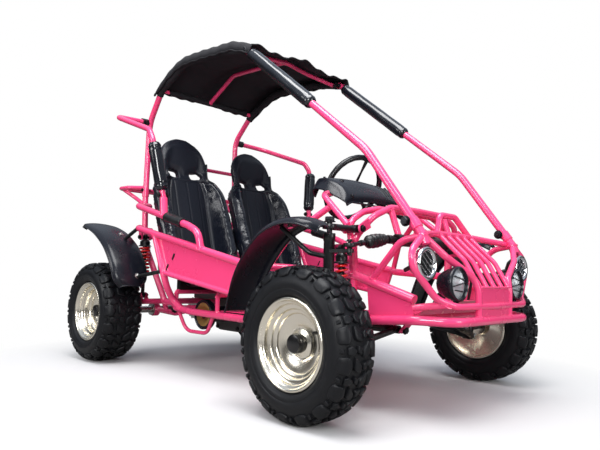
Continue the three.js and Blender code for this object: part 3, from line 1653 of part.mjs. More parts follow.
function shock(name, side, { coil, wire, curls, top, foot, bolt }) {
  const bottom = place(foot, side);
  const length = place(top, side).z - bottom.z;
  const seat = coil + wire + springLedge;
  const at = (z) => new Vector3(0, 0, z);
  const across = (z, half, radius) =>
    bar(at(z).addScaledVector(bolt, -half), at(z).addScaledVector(bolt, half), radius, boreSides);
  const upright = (from, to, radius) => bar(at(from), at(to), radius, uprightSides);
  const eyeHole = (z, play) => across(z, shockEyeHalf + cutOverrun, fit(shockBoltRadius + play));
  const [upper, lower] = [length * upperSeatShare, length * lowerSeatShare];
  const group = new THREE.Group();
  group.position.copy(bottom);
  kart.add(group);
  const body = join([
    across(length, shockEyeHalf, eyeRadius),
    upright(upper, length - eyeRadius / 2, seat * topCapShare),
    upright(upper, upper + seatHeight, seat),
    upright(length * bodyEndShare, upper + seatHeight, cylinderRadius),
  ])
    .subtract(eyeHole(length, 0))
    .subtract(upright(length * rodBoreStartShare, length * rodBoreEndShare, fit(rodRadius)));
  add(name + "_body", body, "black", group);
  const rod = join([
    across(0, shockEyeHalf, eyeRadius),
    upright(eyeRadius / 2, lower, rodSleeveRadius),
    upright(lower - seatHeight, lower, seat),
    upright(lower, length * rodTopShare, rodRadius),
  ]).subtract(eyeHole(0, footPlay));
  add(name + "_rod", rod, "grey", group);
  add(name + "_spring", spring(name, lower + seamGap, upper - seamGap, coil, wire, curls), "red", group);
}
for (const [name, side] of sides) {
  for (const [kind, form] of Object.entries(shocks)) shock(kind + "_" + name, side, form);
}

// Pedals: each a plate on a lever that swings on its bolt over the floor.
const pedalNames = ["brake_pedal", "throttle_pedal"];
const pedalLean = 14;
const pedalRise = 120;
const pedalPad = new Vector3(50, 6, 70);
const pedalEyeRadius = 9;
const pedalEyeHalf = 9;
const pedalStemRadius = 5;
pedalXShares.forEach((x, i) => {
  const pivot = place([x, ...pedalPivotShare]);
  const head = pivot.clone().add(new Vector3(0, -pedalLean, pedalRise));
  const across = (half, radius) =>
    bar(
      pivot.clone().addScaledVector(acrossX, -half),
      pivot.clone().addScaledVector(acrossX, half),
      radius,
      boreSides,
    );
  const pedal = join([
    across(pedalEyeHalf, pedalEyeRadius),
    bar(pivot, head, pedalStemRadius),
    box(pedalPad, head),
  ]);
  add(pedalNames[i], pedal.subtract(across(pedalEyeHalf + cutOverrun, fit(pedalBoltRadius))), "black");
});

// The kart stands with its middle over the origin and its tyres on the ground.
const forward = ((noseReachShare - tailReachShare) / 2) * cabinLength;
kart.position.set(0, forward, tyreRadius - axleHeightShare * cabinLength);

export default kart;
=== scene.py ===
import math

import bpy
import numpy as np
from mathutils import Matrix, Quaternion, Vector, noise


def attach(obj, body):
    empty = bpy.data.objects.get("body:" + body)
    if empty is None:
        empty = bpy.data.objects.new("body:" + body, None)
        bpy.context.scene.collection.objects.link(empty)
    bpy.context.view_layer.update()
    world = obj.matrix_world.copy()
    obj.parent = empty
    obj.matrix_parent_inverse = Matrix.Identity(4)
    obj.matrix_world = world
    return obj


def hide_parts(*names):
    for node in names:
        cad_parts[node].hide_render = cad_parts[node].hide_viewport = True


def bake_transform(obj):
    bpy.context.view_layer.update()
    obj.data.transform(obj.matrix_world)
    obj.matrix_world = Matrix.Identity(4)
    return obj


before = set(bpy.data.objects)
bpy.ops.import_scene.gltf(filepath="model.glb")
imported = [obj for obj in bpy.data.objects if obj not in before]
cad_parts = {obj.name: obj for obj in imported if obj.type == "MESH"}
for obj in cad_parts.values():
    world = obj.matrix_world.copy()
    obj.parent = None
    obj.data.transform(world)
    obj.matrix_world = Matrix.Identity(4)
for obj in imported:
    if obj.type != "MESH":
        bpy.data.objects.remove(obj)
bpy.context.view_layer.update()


# The camera stands low at the kart's front right corner, at the height of a crouching
# person, and looks slightly up along the nose.
def put_in_scene(name, data):
    made = bpy.data.objects.new(name, data)
    bpy.context.scene.collection.objects.link(made)
    return made


eye = Vector((-1.5120, -1.5976, 0.3849))
gaze = Vector((0.6979, 0.7109, 0.0864)).normalized()
level = Vector((0.7117, -0.7020, 0.0271))
across = (level - gaze * level.dot(gaze)).normalized()
upward = across.cross(gaze)
view = bpy.data.cameras.new("view")
view.sensor_width = 36
view.lens = 36 * 550.3 / 600
camera = put_in_scene("camera", view)
camera.matrix_world = Matrix.Translation(eye) @ Matrix((across, upward, -gaze)).transposed().to_4x4()
bpy.context.scene.camera = camera
bpy.context.scene.view_settings.view_transform = "Standard"


# The studio: a pale seamless floor and a white surround, with a broad soft box overhead,
# a lower one at the kart's right and a weak fill in front. The floor keeps the shadow.
def node(tree, kind, **values):
    made = tree.nodes.new("ShaderNode" + kind)
    for name, value in values.items():
        if name.startswith("in_"):
            made.inputs[name[3:].replace("_", " ")].default_value = value
        else:
            setattr(made, name, value)
    return made


def set_pair(made, start, low, high):
    """Two inputs of a node that stand next to each other: the ends of a range, or two colours."""
    made.inputs[start].default_value, made.inputs[start + 1].default_value = low, high


def new_material(name):
    made = bpy.data.materials.new(name)
    made.use_nodes = True
    tree = made.node_tree
    tree.nodes.clear()
    return made, tree, tree.nodes.new("ShaderNodeOutputMaterial")


def connect(tree, *links):
    for start, out_name, end, in_name in links:
        tree.links.new(start.outputs[out_name], end.inputs[in_name])


def seen_ray(tree):
    path, both = node(tree, "LightPath"), node(tree, "Math", operation="MAXIMUM")
    connect(tree, (path, "Is Camera Ray", both, 0), (path, "Is Transmission Ray", both, 1))
    return both


floor_data = bpy.data.meshes.new("floor")
reach = 14.0
floor_data.from_pydata([(x, y, 0.0) for x, y in ((-reach, -reach), (reach, -reach), (reach, reach), (-reach, reach))],
                       [], [(0, 1, 2, 3)])
floor = put_in_scene("floor", floor_data)
pale, tree, out = new_material("pale_floor")
matte = node(tree, "BsdfDiffuse", in_Color=(0.62, 0.61, 0.61, 1))
glow = node(tree, "Emission", in_Color=(1, 1, 1, 1), in_Strength=0.005)
lit = node(tree, "AddShader")
mix = node(tree, "MixShader")
spot, far, fade = node(tree, "TexCoord"), node(tree, "VectorMath", operation="LENGTH"), node(tree, "MapRange")
set_pair(fade, 1, 0.8, 1.4)
plain_white, outer = node(tree, "Emission", in_Color=(1, 1, 1, 1), in_Strength=1.0), node(tree, "MixShader")
connect(tree, (spot, "Object", far, 0), (far, "Value", fade, 0), (fade, 0, outer, 0), (matte, 0, lit, 0),
     (glow, 0, lit, 1), (lit, 0, outer, 1), (plain_white, 0, outer, 2))
muted = node(tree, "BsdfDiffuse", in_Color=(0.3, 0.29, 0.28, 1))
connect(tree, (seen_ray(tree), 0, mix, 0), (muted, 0, mix, 1), (outer, 0, mix, 2), (mix, 0, out, 0))
floor_data.materials.append(pale)

world = bpy.data.worlds.new("studio")
bpy.context.scene.world = world
world.use_nodes = True
tree = world.node_tree
tree.nodes.clear()
out = tree.nodes.new("ShaderNodeOutputWorld")
white = node(tree, "Background", in_Color=(1, 1, 1, 1), in_Strength=1.0)
soft = node(tree, "Background")
way, height = node(tree, "TexCoord"), node(tree, "SeparateXYZ")
rise = node(tree, "MapRange", interpolation_type="SMOOTHSTEP")
tone = node(tree, "Mix", data_type="RGBA")
set_pair(rise, 1, 0.1, 0.75)
set_pair(tone, 6, (0.055, 0.052, 0.048, 1), (0.52, 0.58, 0.68, 1))
connect(tree, (way, "Generated", height, 0), (height, "Z", rise, 0), (rise, 0, tone, 0), (tone, 2, soft, "Color"))
mix = node(tree, "MixShader")
connect(tree, (seen_ray(tree), 0, mix, 0), (soft, 0, mix, 1), (white, 0, mix, 2), (mix, 0, out, 0))

for name, size, power, spot, aim in (
    ("overhead", 2.0, 118, (-0.9, -0.6, 3.1), (0.0, 0.1, 0.5)),
    ("right_side", 1.2, 30, (-3.0, 0.9, 1.6), (0.0, 0.2, 0.5)),
    ("front_fill", 1.0, 24, (0.2, -3.4, 1.0), (0.0, 0.0, 0.5)),
    ("viewer_side", 0.9, 48, (-2.6, -2.0, 1.3), (0.0, -0.1, 0.4)),
):
    light = bpy.data.lights.new(name, "AREA")
    light.size = size
    light.energy = power
    lamp = put_in_scene(name, light)
    lamp.location = spot
    lamp.rotation_euler = (Vector(aim) - Vector(spot)).to_track_quat("-Z", "Y").to_euler()


# The welded tube frame: round steel tube bent cold and welded, then powder coated bright
# pink all over. It carries everything else, so the tube and paint tools start here.
MIDDLE = 0.045
RIGHT, LEFT = -1, 1
SIDES = (("right", RIGHT), ("left", LEFT))
X, Y, Z = Vector((1, 0, 0)), Vector((0, 1, 0)), Vector((0, 0, 1))


def place(x, y, z, side=1):
    return Vector((x * side, y + MIDDLE, z))


def route(points, side=1):
    return [place(*p, side) for p in points]


def loop(points):
    half = points[:-1]
    return route(half, RIGHT) + [place(*points[-1])] + route(half, LEFT)[::-1]


def bent(corners, bend=0.07):
    """Stations along a path whose corners are rounded, each a point and a direction."""
    ways = [(b - a).normalized() for a, b in zip(corners, corners[1:])]
    stations = [(corners[0], ways[0])]
    for i in range(1, len(corners) - 1):
        before, after, corner = ways[i - 1], ways[i], corners[i]
        angle = before.angle(after, 0)
        if angle < 0.02:
            continue
        room = min((corner - corners[i - 1]).length, (corner - corners[i + 1]).length)
        grip = min(bend * math.tan(angle / 2), room * 0.48)
        start, end = corner - before * grip, corner + after * grip
        steps = max(3, math.ceil(angle / 0.16))
        for k in range(steps + 1):
            t = k / steps
            point = start.lerp(corner, t).lerp(corner.lerp(end, t), t)
            way = (corner - start).lerp(end - corner, t).normalized()
            stations.append((point, way))
    stations.append((corners[-1], ways[-1]))
    return stations


def square_to(way):
    first = way.orthogonal().normalized()
    return first, way.cross(first)


def once_round(count):
    return [2 * math.pi * k / count for k in range(count)]


def circle(first, second, count):
    """Steps once round in the plane of two directions."""
    return [first * math.cos(a) + second * math.sin(a) for a in once_round(count)]


def both_ends(rows):
    """A profile that is alike at both ends of its axis, from the rows of its first end."""
    return rows + [(r, -d) for r, d in rows[::-1]]


class Shape:
    """Points and faces gathered for one piece before they become its mesh."""

    def __init__(self):
        self.points, self.faces = [], []

    def loft(self, rings, caps=True, round_trip=False):
        start, count = len(self.points), len(rings[0])
        for ring in rings:
            self.points.extend(ring)
        last = len(rings) if round_trip else len(rings) - 1
        for i in range(last):
            a, b = start + i * count, start + (i + 1) % len(rings) * count
            for j in range(count):
                k = (j + 1) % count
                self.faces.append((a + j, a + k, b + k, b + j))
        if caps and not round_trip:
            self.faces.append(tuple(range(start, start + count))[::-1])
            self.faces.append(tuple(range(start + (len(rings) - 1) * count, start + len(rings) * count)))

    def sweep(self, stations, radii, sides=20, caps=True):
        first, second = square_to(stations[0][1])
        rings, before = [], stations[0][1]
        for (point, way), radius in zip(stations, radii):
            turn = before.rotation_difference(way)
            first = (turn @ first).normalized()
            second = way.cross(first).normalized()
            before = way
            rings.append([point + step * radius for step in circle(first, second, sides)])
        self.loft(rings, caps)

    def tube(self, corners, radius, bend=0.07, sides=20):
        stations = bent(corners, bend)
        self.sweep(stations, [radius] * len(stations), sides)

    def bar(self, start, end, radius, sides=20):
        way = (end - start).normalized()
        self.sweep([(start, way), (end, way)], [radius] * 2, sides)

    def turned(self, profile, centre, axis, sides=32, caps=True, round_trip=False):
        """profile holds (radius, distance along the axis) pairs."""
        steps = circle(*square_to(axis), sides)
        self.loft([[centre + axis * d + step * r for step in steps] for r, d in profile], caps, round_trip)

    def collar(self, bore, radius, half, centre, axis, sides=32):
        self.turned(both_ends([(bore, -half), (radius, -half)]), centre, axis, sides, round_trip=True)

    def eye(self, bore, radius, half, centre, axis, sides=32):
        """A ring round a bolt, its edges rounded off."""
        rows = [(bore, -half), (radius - 0.0005, -half), (radius, 0.001 - half)]
        self.turned(both_ends(rows), centre, axis, sides, round_trip=True)

    def slab(self, outline, thickness):
        """A flat plate from the outline of its middle plane."""
        across = (outline[1] - outline[0]).cross(outline[2] - outline[1]).normalized() * thickness / 2
        self.loft([[p + across * d for p in outline] for d in (-1, 1)])

    def block(self, centre, size, turn=None):
        turn = turn or Quaternion()
        x, y, z = (turn @ axis * s / 2 for axis, s in zip((X, Y, Z), size))
        lower = [centre - x - y - z, centre + x - y - z, centre + x + y - z, centre - x + y - z]
        self.loft([lower, [p + z * 2 for p in lower]])

    def lug(self, eye, root, axis, half, thickness):
        """An ear of plate: round about a bolt that runs along the axis, straight back to its root."""
        way = (root - eye).normalized()
        over = axis.cross(way).normalized()
        outline = [eye + (over * math.cos(a) - way * math.sin(a)) * half
                   for a in (math.pi * k / 10 for k in range(11))]
        outline += [root - over * half * 1.15, root + over * half * 1.15]
        self.loft([[p + axis * thickness / 2 * d for p in outline] for d in (-1, 1)])

    def bolt(self, centre, axis, radius, reach, head_only=False):
        """A hexagon bolt with its washer, and a lock nut with the thread's end on the far side."""
        for turn in ((1,) if head_only else (1, -1)):
            face = centre + axis * turn * reach
            way = axis * turn
            self.turned([(radius * 2.1, 0), (radius * 2.1, radius * 0.3)], face, way, 20)
            self.turned([(radius * 1.7, radius * 0.3), (radius * 1.75, radius * 1.2), (radius * 1.5, radius * 1.45)],
                        face, way, 6)
            if turn < 0:
                self.turned([(radius * 0.95, radius), (radius * 0.8, radius * 2.1)], face, way, 14)
        if not head_only:
            self.bar(centre - axis * reach, centre + axis * reach, radius, 14)

    def bare(self, name, material=None):
        """The object by itself, before it has a body."""
        mesh = bpy.data.meshes.new(name)
        mesh.from_pydata([tuple(p) for p in self.points], [], self.faces)
        mesh.update()
        if material:
            mesh.materials.append(material)
        return put_in_scene(name, mesh)

    def piece(self, name, material, replaces="", body="chassis", slot="", crease=38, bevel=0.0):
        made = self.bare(name, material)
        made.data.shade_smooth()
        made.data.set_sharp_from_angle(angle=math.radians(crease))
        if bevel:
            edge = made.modifiers.new("edge", "BEVEL")
            edge.width, edge.segments, edge.limit_method = bevel, 2, "ANGLE"
            edge.angle_limit = math.radians(40)
        if replaces:
            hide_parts(replaces)
        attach(made, body)
        return made


# Three effects that many finishes share: the faint ripple of a sprayed or moulded skin, the
# uneven gloss left by handling, and the dust that settles low down and on upward faces.
def group(name, inputs, outputs):
    made = bpy.data.node_groups.new(name, "ShaderNodeTree")
    for label, kind, value in inputs:
        socket = made.interface.new_socket(label, in_out="INPUT", socket_type="NodeSocket" + kind)
        socket.default_value = value
    for label, kind in outputs:
        made.interface.new_socket(label, in_out="OUTPUT", socket_type="NodeSocket" + kind)
    return made, made.nodes.new("NodeGroupInput"), made.nodes.new("NodeGroupOutput")


ripple, given, result = group("skin_ripple", [("Scale", "Float", 90.0), ("Fine", "Float", 0.3)], [("Height", "Float")])
spot = node(ripple, "TexCoord")
broad, fine = node(ripple, "TexNoise", in_Detail=2.0), node(ripple, "TexNoise", in_Detail=5.0)
times = node(ripple, "Math", operation="MULTIPLY")
times.inputs[1].default_value = 9
blend = node(ripple, "Mix")
for texture in (broad, fine):
    connect(ripple, (spot, "Object", texture, "Vector"))
connect(ripple, (given, "Scale", broad, "Scale"), (given, "Scale", times, 0), (times, 0, fine, "Scale"),
     (given, "Fine", blend, 0), (broad, 0, blend, 2), (fine, 0, blend, 3), (blend, 0, result, 0))

handling, given, result = group("uneven_gloss", [("Low", "Float", 0.2), ("High", "Float", 0.4),
                                                 ("Scale", "Float", 14.0)],
                                [("Roughness", "Float"), ("Mask", "Float")])
spot = node(handling, "TexCoord")
cloud = node(handling, "TexNoise", in_Detail=6.0, in_Roughness=0.62)
spread = node(handling, "MapRange")
set_pair(spread, 1, 0.35, 0.68)
connect(handling, (spot, "Object", cloud, "Vector"), (given, "Scale", cloud, "Scale"), (cloud, 0, spread, 0),
     (given, "Low", spread, 3), (given, "High", spread, 4), (spread, 0, result, 0), (cloud, 0, result, 1))

dust, given, result = group("settled_dust", [("Color", "Color", (0, 0, 0, 1)), ("Dust", "Color", (0.3, 0.27, 0.23, 1)),
                                             ("Amount", "Float", 0.1)], [("Color", "Color"), ("Mask", "Float")])
spot, turned = node(dust, "TexCoord"), node(dust, "NewGeometry")
place_z, face_z = node(dust, "SeparateXYZ"), node(dust, "SeparateXYZ")
low, up = node(dust, "MapRange"), node(dust, "MapRange")
set_pair(low, 1, 0.5, 0.05)
set_pair(up, 1, 0.2, 1.0)
cloud = node(dust, "TexNoise", in_Scale=35.0, in_Detail=8.0)
stack, patch, amount = (node(dust, "Math", operation=kind) for kind in ("MAXIMUM", "MULTIPLY", "MULTIPLY"))
tint = node(dust, "Mix", data_type="RGBA")
connect(dust, (spot, "Object", place_z, 0), (spot, "Object", cloud, "Vector"), (turned, "Normal", face_z, 0),
     (place_z, "Z", low, 0), (face_z, "Z", up, 0), (low, 0, stack, 0), (up, 0, stack, 1), (stack, 0, patch, 0),
     (cloud, 0, patch, 1), (patch, 0, amount, 0), (given, "Amount", amount, 1), (amount, 0, tint, 0),
     (given, "Color", tint, 6), (given, "Dust", tint, 7), (tint, 2, result, 0), (amount, 0, result, 1))


def use(tree, made, **values):
    placed = tree.nodes.new("ShaderNodeGroup")
    placed.node_tree = made
    for name, value in values.items():
        placed.inputs[name].default_value = value
    return placed


def shaded(name, slot, color, rough, dusty=0.05, ripple_scale=90.0, fine=0.3, bump=0.05, second=None,
           gloss_scale=14.0, **fixed):
    """A finish whose gloss, colour and skin vary over the surface; fixed values go on the shader's own sockets."""
    made, tree, out = new_material(name)
    shader = tree.nodes.new("ShaderNodeBsdfPrincipled")
    for label, value in fixed.items():
        shader.inputs[label.replace("_", " ")].default_value = value
    gloss = use(tree, handling, Low=rough[0], High=rough[1], Scale=gloss_scale)
    tone = node(tree, "Mix", data_type="RGBA")
    set_pair(tone, 6, (*color, 1), (*(second or [c * 0.82 for c in color]), 1))
    settled = use(tree, dust, Amount=dusty)
    skin = use(tree, ripple, Scale=ripple_scale, Fine=fine)
    relief = node(tree, "Bump", in_Strength=bump, in_Distance=0.002)
    connect(tree, (gloss, "Mask", tone, 0), (tone, 2, settled, "Color"), (settled, "Color", shader, "Base Color"),
         (gloss, "Roughness", shader, "Roughness"), (skin, 0, relief, "Height"), (relief, 0, shader, "Normal"),
         (shader, 0, out, 0))
    return made


pink = shaded("pink_powder_coat", "frame_paint", (0.92, 0.062, 0.215), (0.2, 0.3), 0.0, 40.0, 0.0, 0.002,
              (0.88, 0.05, 0.185), Coat_Weight=0.55, Coat_Roughness=0.12, Specular_IOR_Level=0.5)
dark_steel = shaded("blacked_bolts", "black_metal", (0.02, 0.02, 0.024), (0.25, 0.45), 0.05, 300.0, 0.5, 0.12,
                    Metallic=0.75)
satin_black = shaded("satin_black_paint", "black_metal", (0.007, 0.0075, 0.009), (0.25, 0.42), 0.02, 180.0, 0.5, 0.04,
                     Specular_IOR_Level=0.35)
plated = shaded("zinc_plated_steel", "bare_steel", (0.62, 0.61, 0.58), (0.18, 0.4), 0.1, 240.0, 0.5, 0.06, Metallic=1.0)

welded = []


def frame_tubes(shape, runs):
    for corners, radius, *bend in runs:
        shape.tube(corners, radius, *bend)
        welded.append((shape, bent(corners, *bend), radius))


def weld_beads():
    """A rippled fillet where the open end of a tube meets the skin of the tube it is welded to."""
    for shape, stations, radius in welded:
        for end, way in ((stations[0][0], -stations[0][1]), (stations[-1][0], stations[-1][1])):
            best = None
            for _, path, thick in welded:
                if path is stations:
                    continue
                for (a, _), (b, _) in zip(path, path[1:]):
                    run = b - a
                    t = (end - a).dot(run) / run.length_squared
                    if not -0.02 <= t <= 1.02:
                        continue
                    gap = (end - (a + run * t)).length
                    if gap < thick * 0.9 and (best is None or gap < best[0]):
                        best = (gap, a, run.normalized(), thick)
            if best is None or abs(way.dot(best[2])) > 0.94:
                continue
            _, a, run, thick = best
            flat_way = way - run * way.dot(run)
            rim, bead = [], []
            for step in circle(*square_to(way), 40):
                edge = end + step * radius
                flat = (edge - a) - run * (edge - a).dot(run)
                p, q, r = flat_way.length_squared, 2 * flat.dot(flat_way), flat.length_squared - thick * thick
                rim.append(edge + way * ((-q - math.sqrt(max(0, q * q - 4 * p * r))) / (2 * p)))
            for k, point in enumerate(rim):
                along = (rim[(k + 1) % len(rim)] - rim[k - 1]).normalized()
                one = (point - end - along * (point - end).dot(along)).normalized()
                fat = 0.0028 if k % 2 else 0.0021
                bead.append([point + step * fat for step in circle(one, along.cross(one), 7)])
            shape.loft(bead, caps=False, round_trip=True)


# Lower frame: one long tube runs back from the bumper down both sides of the floor, with
# cross tubes, the skid loops under the seats, the rear cradle uprights and the long bolts
# that the front arms and the swing arm turn on.
rail = [(0.256, 0.45, 0.248), (0.256, 0.36, 0.244), (0.33, 0.24, 0.236), (0.33, 0.13, 0.228), (0.33, -0.2, 0.224),
        (0.262, -0.33, 0.232), (0.262, -0.81, 0.268), (0.205, -0.905, 0.266), (0, -0.905, 0.266)]
crossings = [(0.262, -0.74, 0.263), (0.262, -0.49, 0.244), (0.32, -0.22, 0.2255), (0.33, 0.2, 0.233),
             (0.256, 0.44, 0.2475)]
skid = [(0.32, 0.245, 0.236), (0.305, 0.2, 0.15), (0.305, 0.06, 0.152), (0.32, 0.005, 0.226)]
cradle = [(0.256, 0.66, 0.7), (0.256, 0.645, 0.5), (0.256, 0.45, 0.25)]
front_axle_y, rear_axle_y, axle_z = -0.615, 0.615, 0.203
wishbone_pivot, swing_pivot = (0.165, front_axle_y, 0.228), (0.292, 0.3, 0.226)
main_tube, light_tube = 0.013, 0.009
base = Shape()
runs = [(loop(rail), main_tube)]
runs += [([place(*p, RIGHT), place(*p)], 0.012) for p in crossings]
for _, side in SIDES:
    runs += [(route(skid, side), 0.007, 0.06), (route(cradle, side), main_tube)]
for x, y in ((0.33, 0.24), (0.33, -0.03)):
    runs.append(([place(-x, y, 0.298), place(x, y, 0.298)], light_tube))
    runs += [([place(x, y, 0.298, side), place(x, y, 0.232, side)], 0.008) for _, side in SIDES]
frame_tubes(base, runs)
base_bolts = Shape()
for _, side in SIDES:
    for dy, (_, y, z) in ((-0.095, crossings[0]), (0.095, crossings[1])):
        hole = place(*wishbone_pivot, side) + Y * dy
        base.lug(hole, place(0.165, y, z, side), Y, 0.014, 0.008)
        base_bolts.bolt(hole, Y if dy > 0 else -Y, 0.006, 0.004, head_only=True)
        base_bolts.bar(hole, place(*wishbone_pivot, side), 0.006)
    pivot = place(*swing_pivot, side)
    base.lug(pivot, place(0.3, 0.3, 0.246, side), X, 0.018, 0.008)
    base_bolts.bolt(pivot, X * side, 0.008, 0.004, head_only=True)
base_bolts.bar(place(-0.292, 0.3, 0.226), place(0.292, 0.3, 0.226), 0.007)
base_bolts.piece("lower_frame_bolts", dark_steel)

# Side frames: the shoulder rail with its rear loop and strut, the folded side plate with
# two slots drawn as black blocks of painted shade, the arm tube with its rubber sleeve and the post for the guard bar.
shoulder = [(0.256, 0.62, 0.556), (0.33, 0.56, 0.562), (0.405, 0.43, 0.549), (0.4, 0.2, 0.502), (0.392, -0.265, 0.405),
            (0.285, -0.35, 0.398), (0.262, -0.6, 0.384), (0.262, -0.81, 0.322)]
strut = [(0.402, 0.305, 0.525), (0.4, 0.23, 0.372), (0.385, 0.226, 0.318), (0.348, 0.24, 0.268), (0.33, 0.2, 0.234)]
plate_rail = [(0.4, 0.235, 0.372), (0.39, -0.225, 0.305), (0.39, -0.262, 0.405)]
arm_rest = [(0.256, 0.655, 0.66), (0.31, 0.52, 0.655), (0.405, 0.45, 0.643), (0.405, 0.07, 0.547), (0.405, 0.0, 0.52),
            (0.4, -0.015, 0.455)]
side_plate = [(0.398, 0.3, 0.52), (0.398, 0.225, 0.372), (0.392, -0.225, 0.305), (0.392, -0.262, 0.405)]
nose_side = [(0.262, -0.65, 0.366), (0.262, -0.66, 0.262), (0.262, -0.81, 0.268), (0.262, -0.8, 0.325)]
rubber = shaded("moulded_rubber", "moulded_black", (0.006, 0.0065, 0.008), (0.3, 0.5), 0.03, 260.0, 0.6, 0.16)
rear_shock_top, rear_shock_foot = (0.3, 0.562, 0.522), (0.3, 0.562, 0.27)
side_shapes = {}
for name, side in SIDES:
    form = side_shapes[name] = Shape()
    frame_tubes(form, [(route(shoulder, side), main_tube), (route(strut, side), main_tube),
                       (route(plate_rail, side), light_tube), (route(arm_rest, side), main_tube, 0.06),
                       ([place(0.405, 0.235, 0.589, side), place(0.402, 0.25, 0.66, side)], 0.015),
                       ([place(0.262, -0.6, 0.384, side), place(0.262, -0.605, 0.25, side)], 0.01)])
    form.slab(route(nose_side, side), 0.003)
    # The plate is a sheet with a rolled lip all round and a raised bead inside its upper edge.
    corners = route(side_plate, side)
    form.slab(corners, 0.003)
    middle = sum(corners, Vector()) / 4
    lip = [p.lerp(middle, 0.03) + X * side * 0.002 for p in corners]
    form.tube(lip + [lip[0]], 0.0035, 0.02, 10)
    inner = [p.lerp(middle, 0.13) + X * side * 0.0015 for p in corners]
    form.tube(inner + [inner[0]], 0.002, 0.02, 8)
    hole = place(*rear_shock_top, side)
    form.bar(place(0.27, 0.562, 0.556, side), place(0.335, 0.562, 0.56, side), 0.008)
    for turn in (-0.022, 0.022):
        form.lug(hole + X * turn, hole + X * turn + Z * 0.036, X, 0.013, 0.006)
    # The slots are not cut through. Black blocks stand in the plate as painted shade where the openings look dark.
    slot_shade_blocks = Shape()
    for y, z in ((0.165, 0.432), (0.203, 0.392)):
        tip = Quaternion(X, 0.5)
        slot_shade_blocks.block(place(0.398, y, z, side), (0.008, 0.008, 0.026), tip)
    slot_shade_blocks.piece("side_plate_slot_shade_blocks_" + name, satin_black, bevel=0.002)
    sleeve = Shape()
    start, end = place(0.405, 0.215, 0.584, side), place(0.405, 0.1, 0.555, side)
    way, length = (end - start).normalized(), (end - start).length
    profile = [(0.013, 0), (0.0185, 0.0008), (0.0195, 0.004)]
    profile += [(0.0195 if k % 2 else 0.0188, 0.008 + (length - 0.016) * k / 22) for k in range(23)]
    profile += [(0.0195, length - 0.004), (0.0185, length - 0.0008), (0.013, length)]
    sleeve.turned(profile, start, way, 28)
    sleeve.piece("arm_sleeve_" + name, rubber)
    shock_bolt = Shape()
    shock_bolt.bolt(hole, X * side, 0.005, 0.026)
    shock_bolt.piece("rear_shock_top_bolt_" + name, dark_steel)

# Nose: round loops about the lamps, five slanted grille bars, the square plate and the
# little hoop on top. The collars under the pillars are thicker rings.
outer_loop = [(0.267, -0.838, 0.492), (0.33, -0.845, 0.45), (0.331, -0.85, 0.405), (0.25, -0.87, 0.325),
              (0.205, -0.9, 0.306), (0, -0.91, 0.306)]
inner_loop = [(0.267, -0.838, 0.492), (0.206, -0.87, 0.437), (0.105, -0.895, 0.385), (0.094, -0.905, 0.352),
              (0.091, -0.905, 0.266)]
nose_top = [(0.262, -0.815, 0.497), (0.09, -0.776, 0.51), (0, -0.776, 0.51)]
hood_hoop = [(-0.07, -0.76, 0.51), (-0.055, -0.76, 0.57), (0.03, -0.76, 0.57), (0.09, -0.776, 0.51)]
nose_plate = [(0.094, -0.907, 0.358), (-0.094, -0.907, 0.358), (-0.092, -0.907, 0.27), (0.092, -0.907, 0.27)]
diagonal = [(0.267, -0.838, 0.492), (0.268, -0.77, 0.48), (0.262, -0.663, 0.366)]
nose_leg = [(0.262, -0.805, 0.3), (0.225, -0.89, 0.312)]
nose_tube = 0.0095
nose = Shape()
runs = [(loop(outer_loop), nose_tube), (loop(nose_top), nose_tube), (route(hood_hoop), nose_tube, 0.02)]
for _, side in SIDES:
    runs += [(route(points, side), nose_tube) for points in (inner_loop, diagonal, nose_leg)]
for x in (-0.09, -0.045, 0, 0.045, 0.09):
    runs.append((route([(x, -0.776, 0.51), (x, -0.862, 0.43), (x, -0.905, 0.356)]), 0.007))
frame_tubes(nose, runs)
for _, side in SIDES:
    low, high = place(0.267, -0.846, 0.468, side), place(0.267, -0.838, 0.492, side)
    way = (high - low).normalized()
    nose.turned([(0.011, -0.001), (0.0145, 0), (0.0145, 0.022), (0.0165, 0.0225), (0.0165, 0.027), (0.0125, 0.028)],
                low, way, 24)
nose.slab(route(nose_plate), 0.006)
lip = [p + Y * -0.003 for p in route(nose_plate)]
nose.tube(lip + [lip[0]], 0.003, 0.01, 10)

# Tower: two arches over the steering, the thick legs that carry the front shocks, the
# dash loop with its braces, and the ring that the steering column turns in.
front_arch = [(0.27, -0.6, 0.41), (0.275, -0.612, 0.49), (0.235, -0.645, 0.555), (0.15, -0.648, 0.59),
              (0, -0.648, 0.592)]
rear_arch = [(0.27, -0.6, 0.44), (0.27, -0.585, 0.54), (0.21, -0.59, 0.575), (0.15, -0.6, 0.588), (0, -0.6, 0.59)]
dash_loop = [(0.27, -0.5875, 0.523), (0.24, -0.455, 0.63), (0.2, -0.42, 0.645), (0.12, -0.42, 0.665), (0, -0.42, 0.665)]
dash_brace = [(0.236, -0.49, 0.602), (0.3, -0.36, 0.5), (0.335, -0.31, 0.408)]
front_shock_top, front_shock_foot = (0.335, front_axle_y, 0.455), (0.335, front_axle_y, 0.2)
upper_pivot, wheel_middle = (0.292, -0.62, 0.515), (0.205, -0.2, 0.735)
tower, tower_bolts = Shape(), Shape()
runs = [(loop(front_arch), 0.01), (loop(rear_arch), 0.01), (loop(dash_loop), 0.01, 0.04)]
for _, side in SIDES:
    runs += [([place(0.27, -0.6, 0.47, side), place(0.262, -0.6, 0.39, side)], 0.0135),
             (route(dash_brace, side), 0.01),
             ([place(0.15, -0.648, 0.585, side), place(0.15, -0.677, 0.504, side)], 0.01)]
frame_tubes(tower, runs)
column_top, column_foot = place(*wheel_middle), place(0.13, -0.655, 0.5)
column_way = (column_foot - column_top).normalized()
ring = column_top.lerp(column_foot, 0.4835)
tower.collar(0.0105, 0.015, 0.012, ring, column_way, 28)
tower.bar(ring + Z * 0.014, Vector((ring.x, -0.42 + MIDDLE, 0.655)), 0.008)
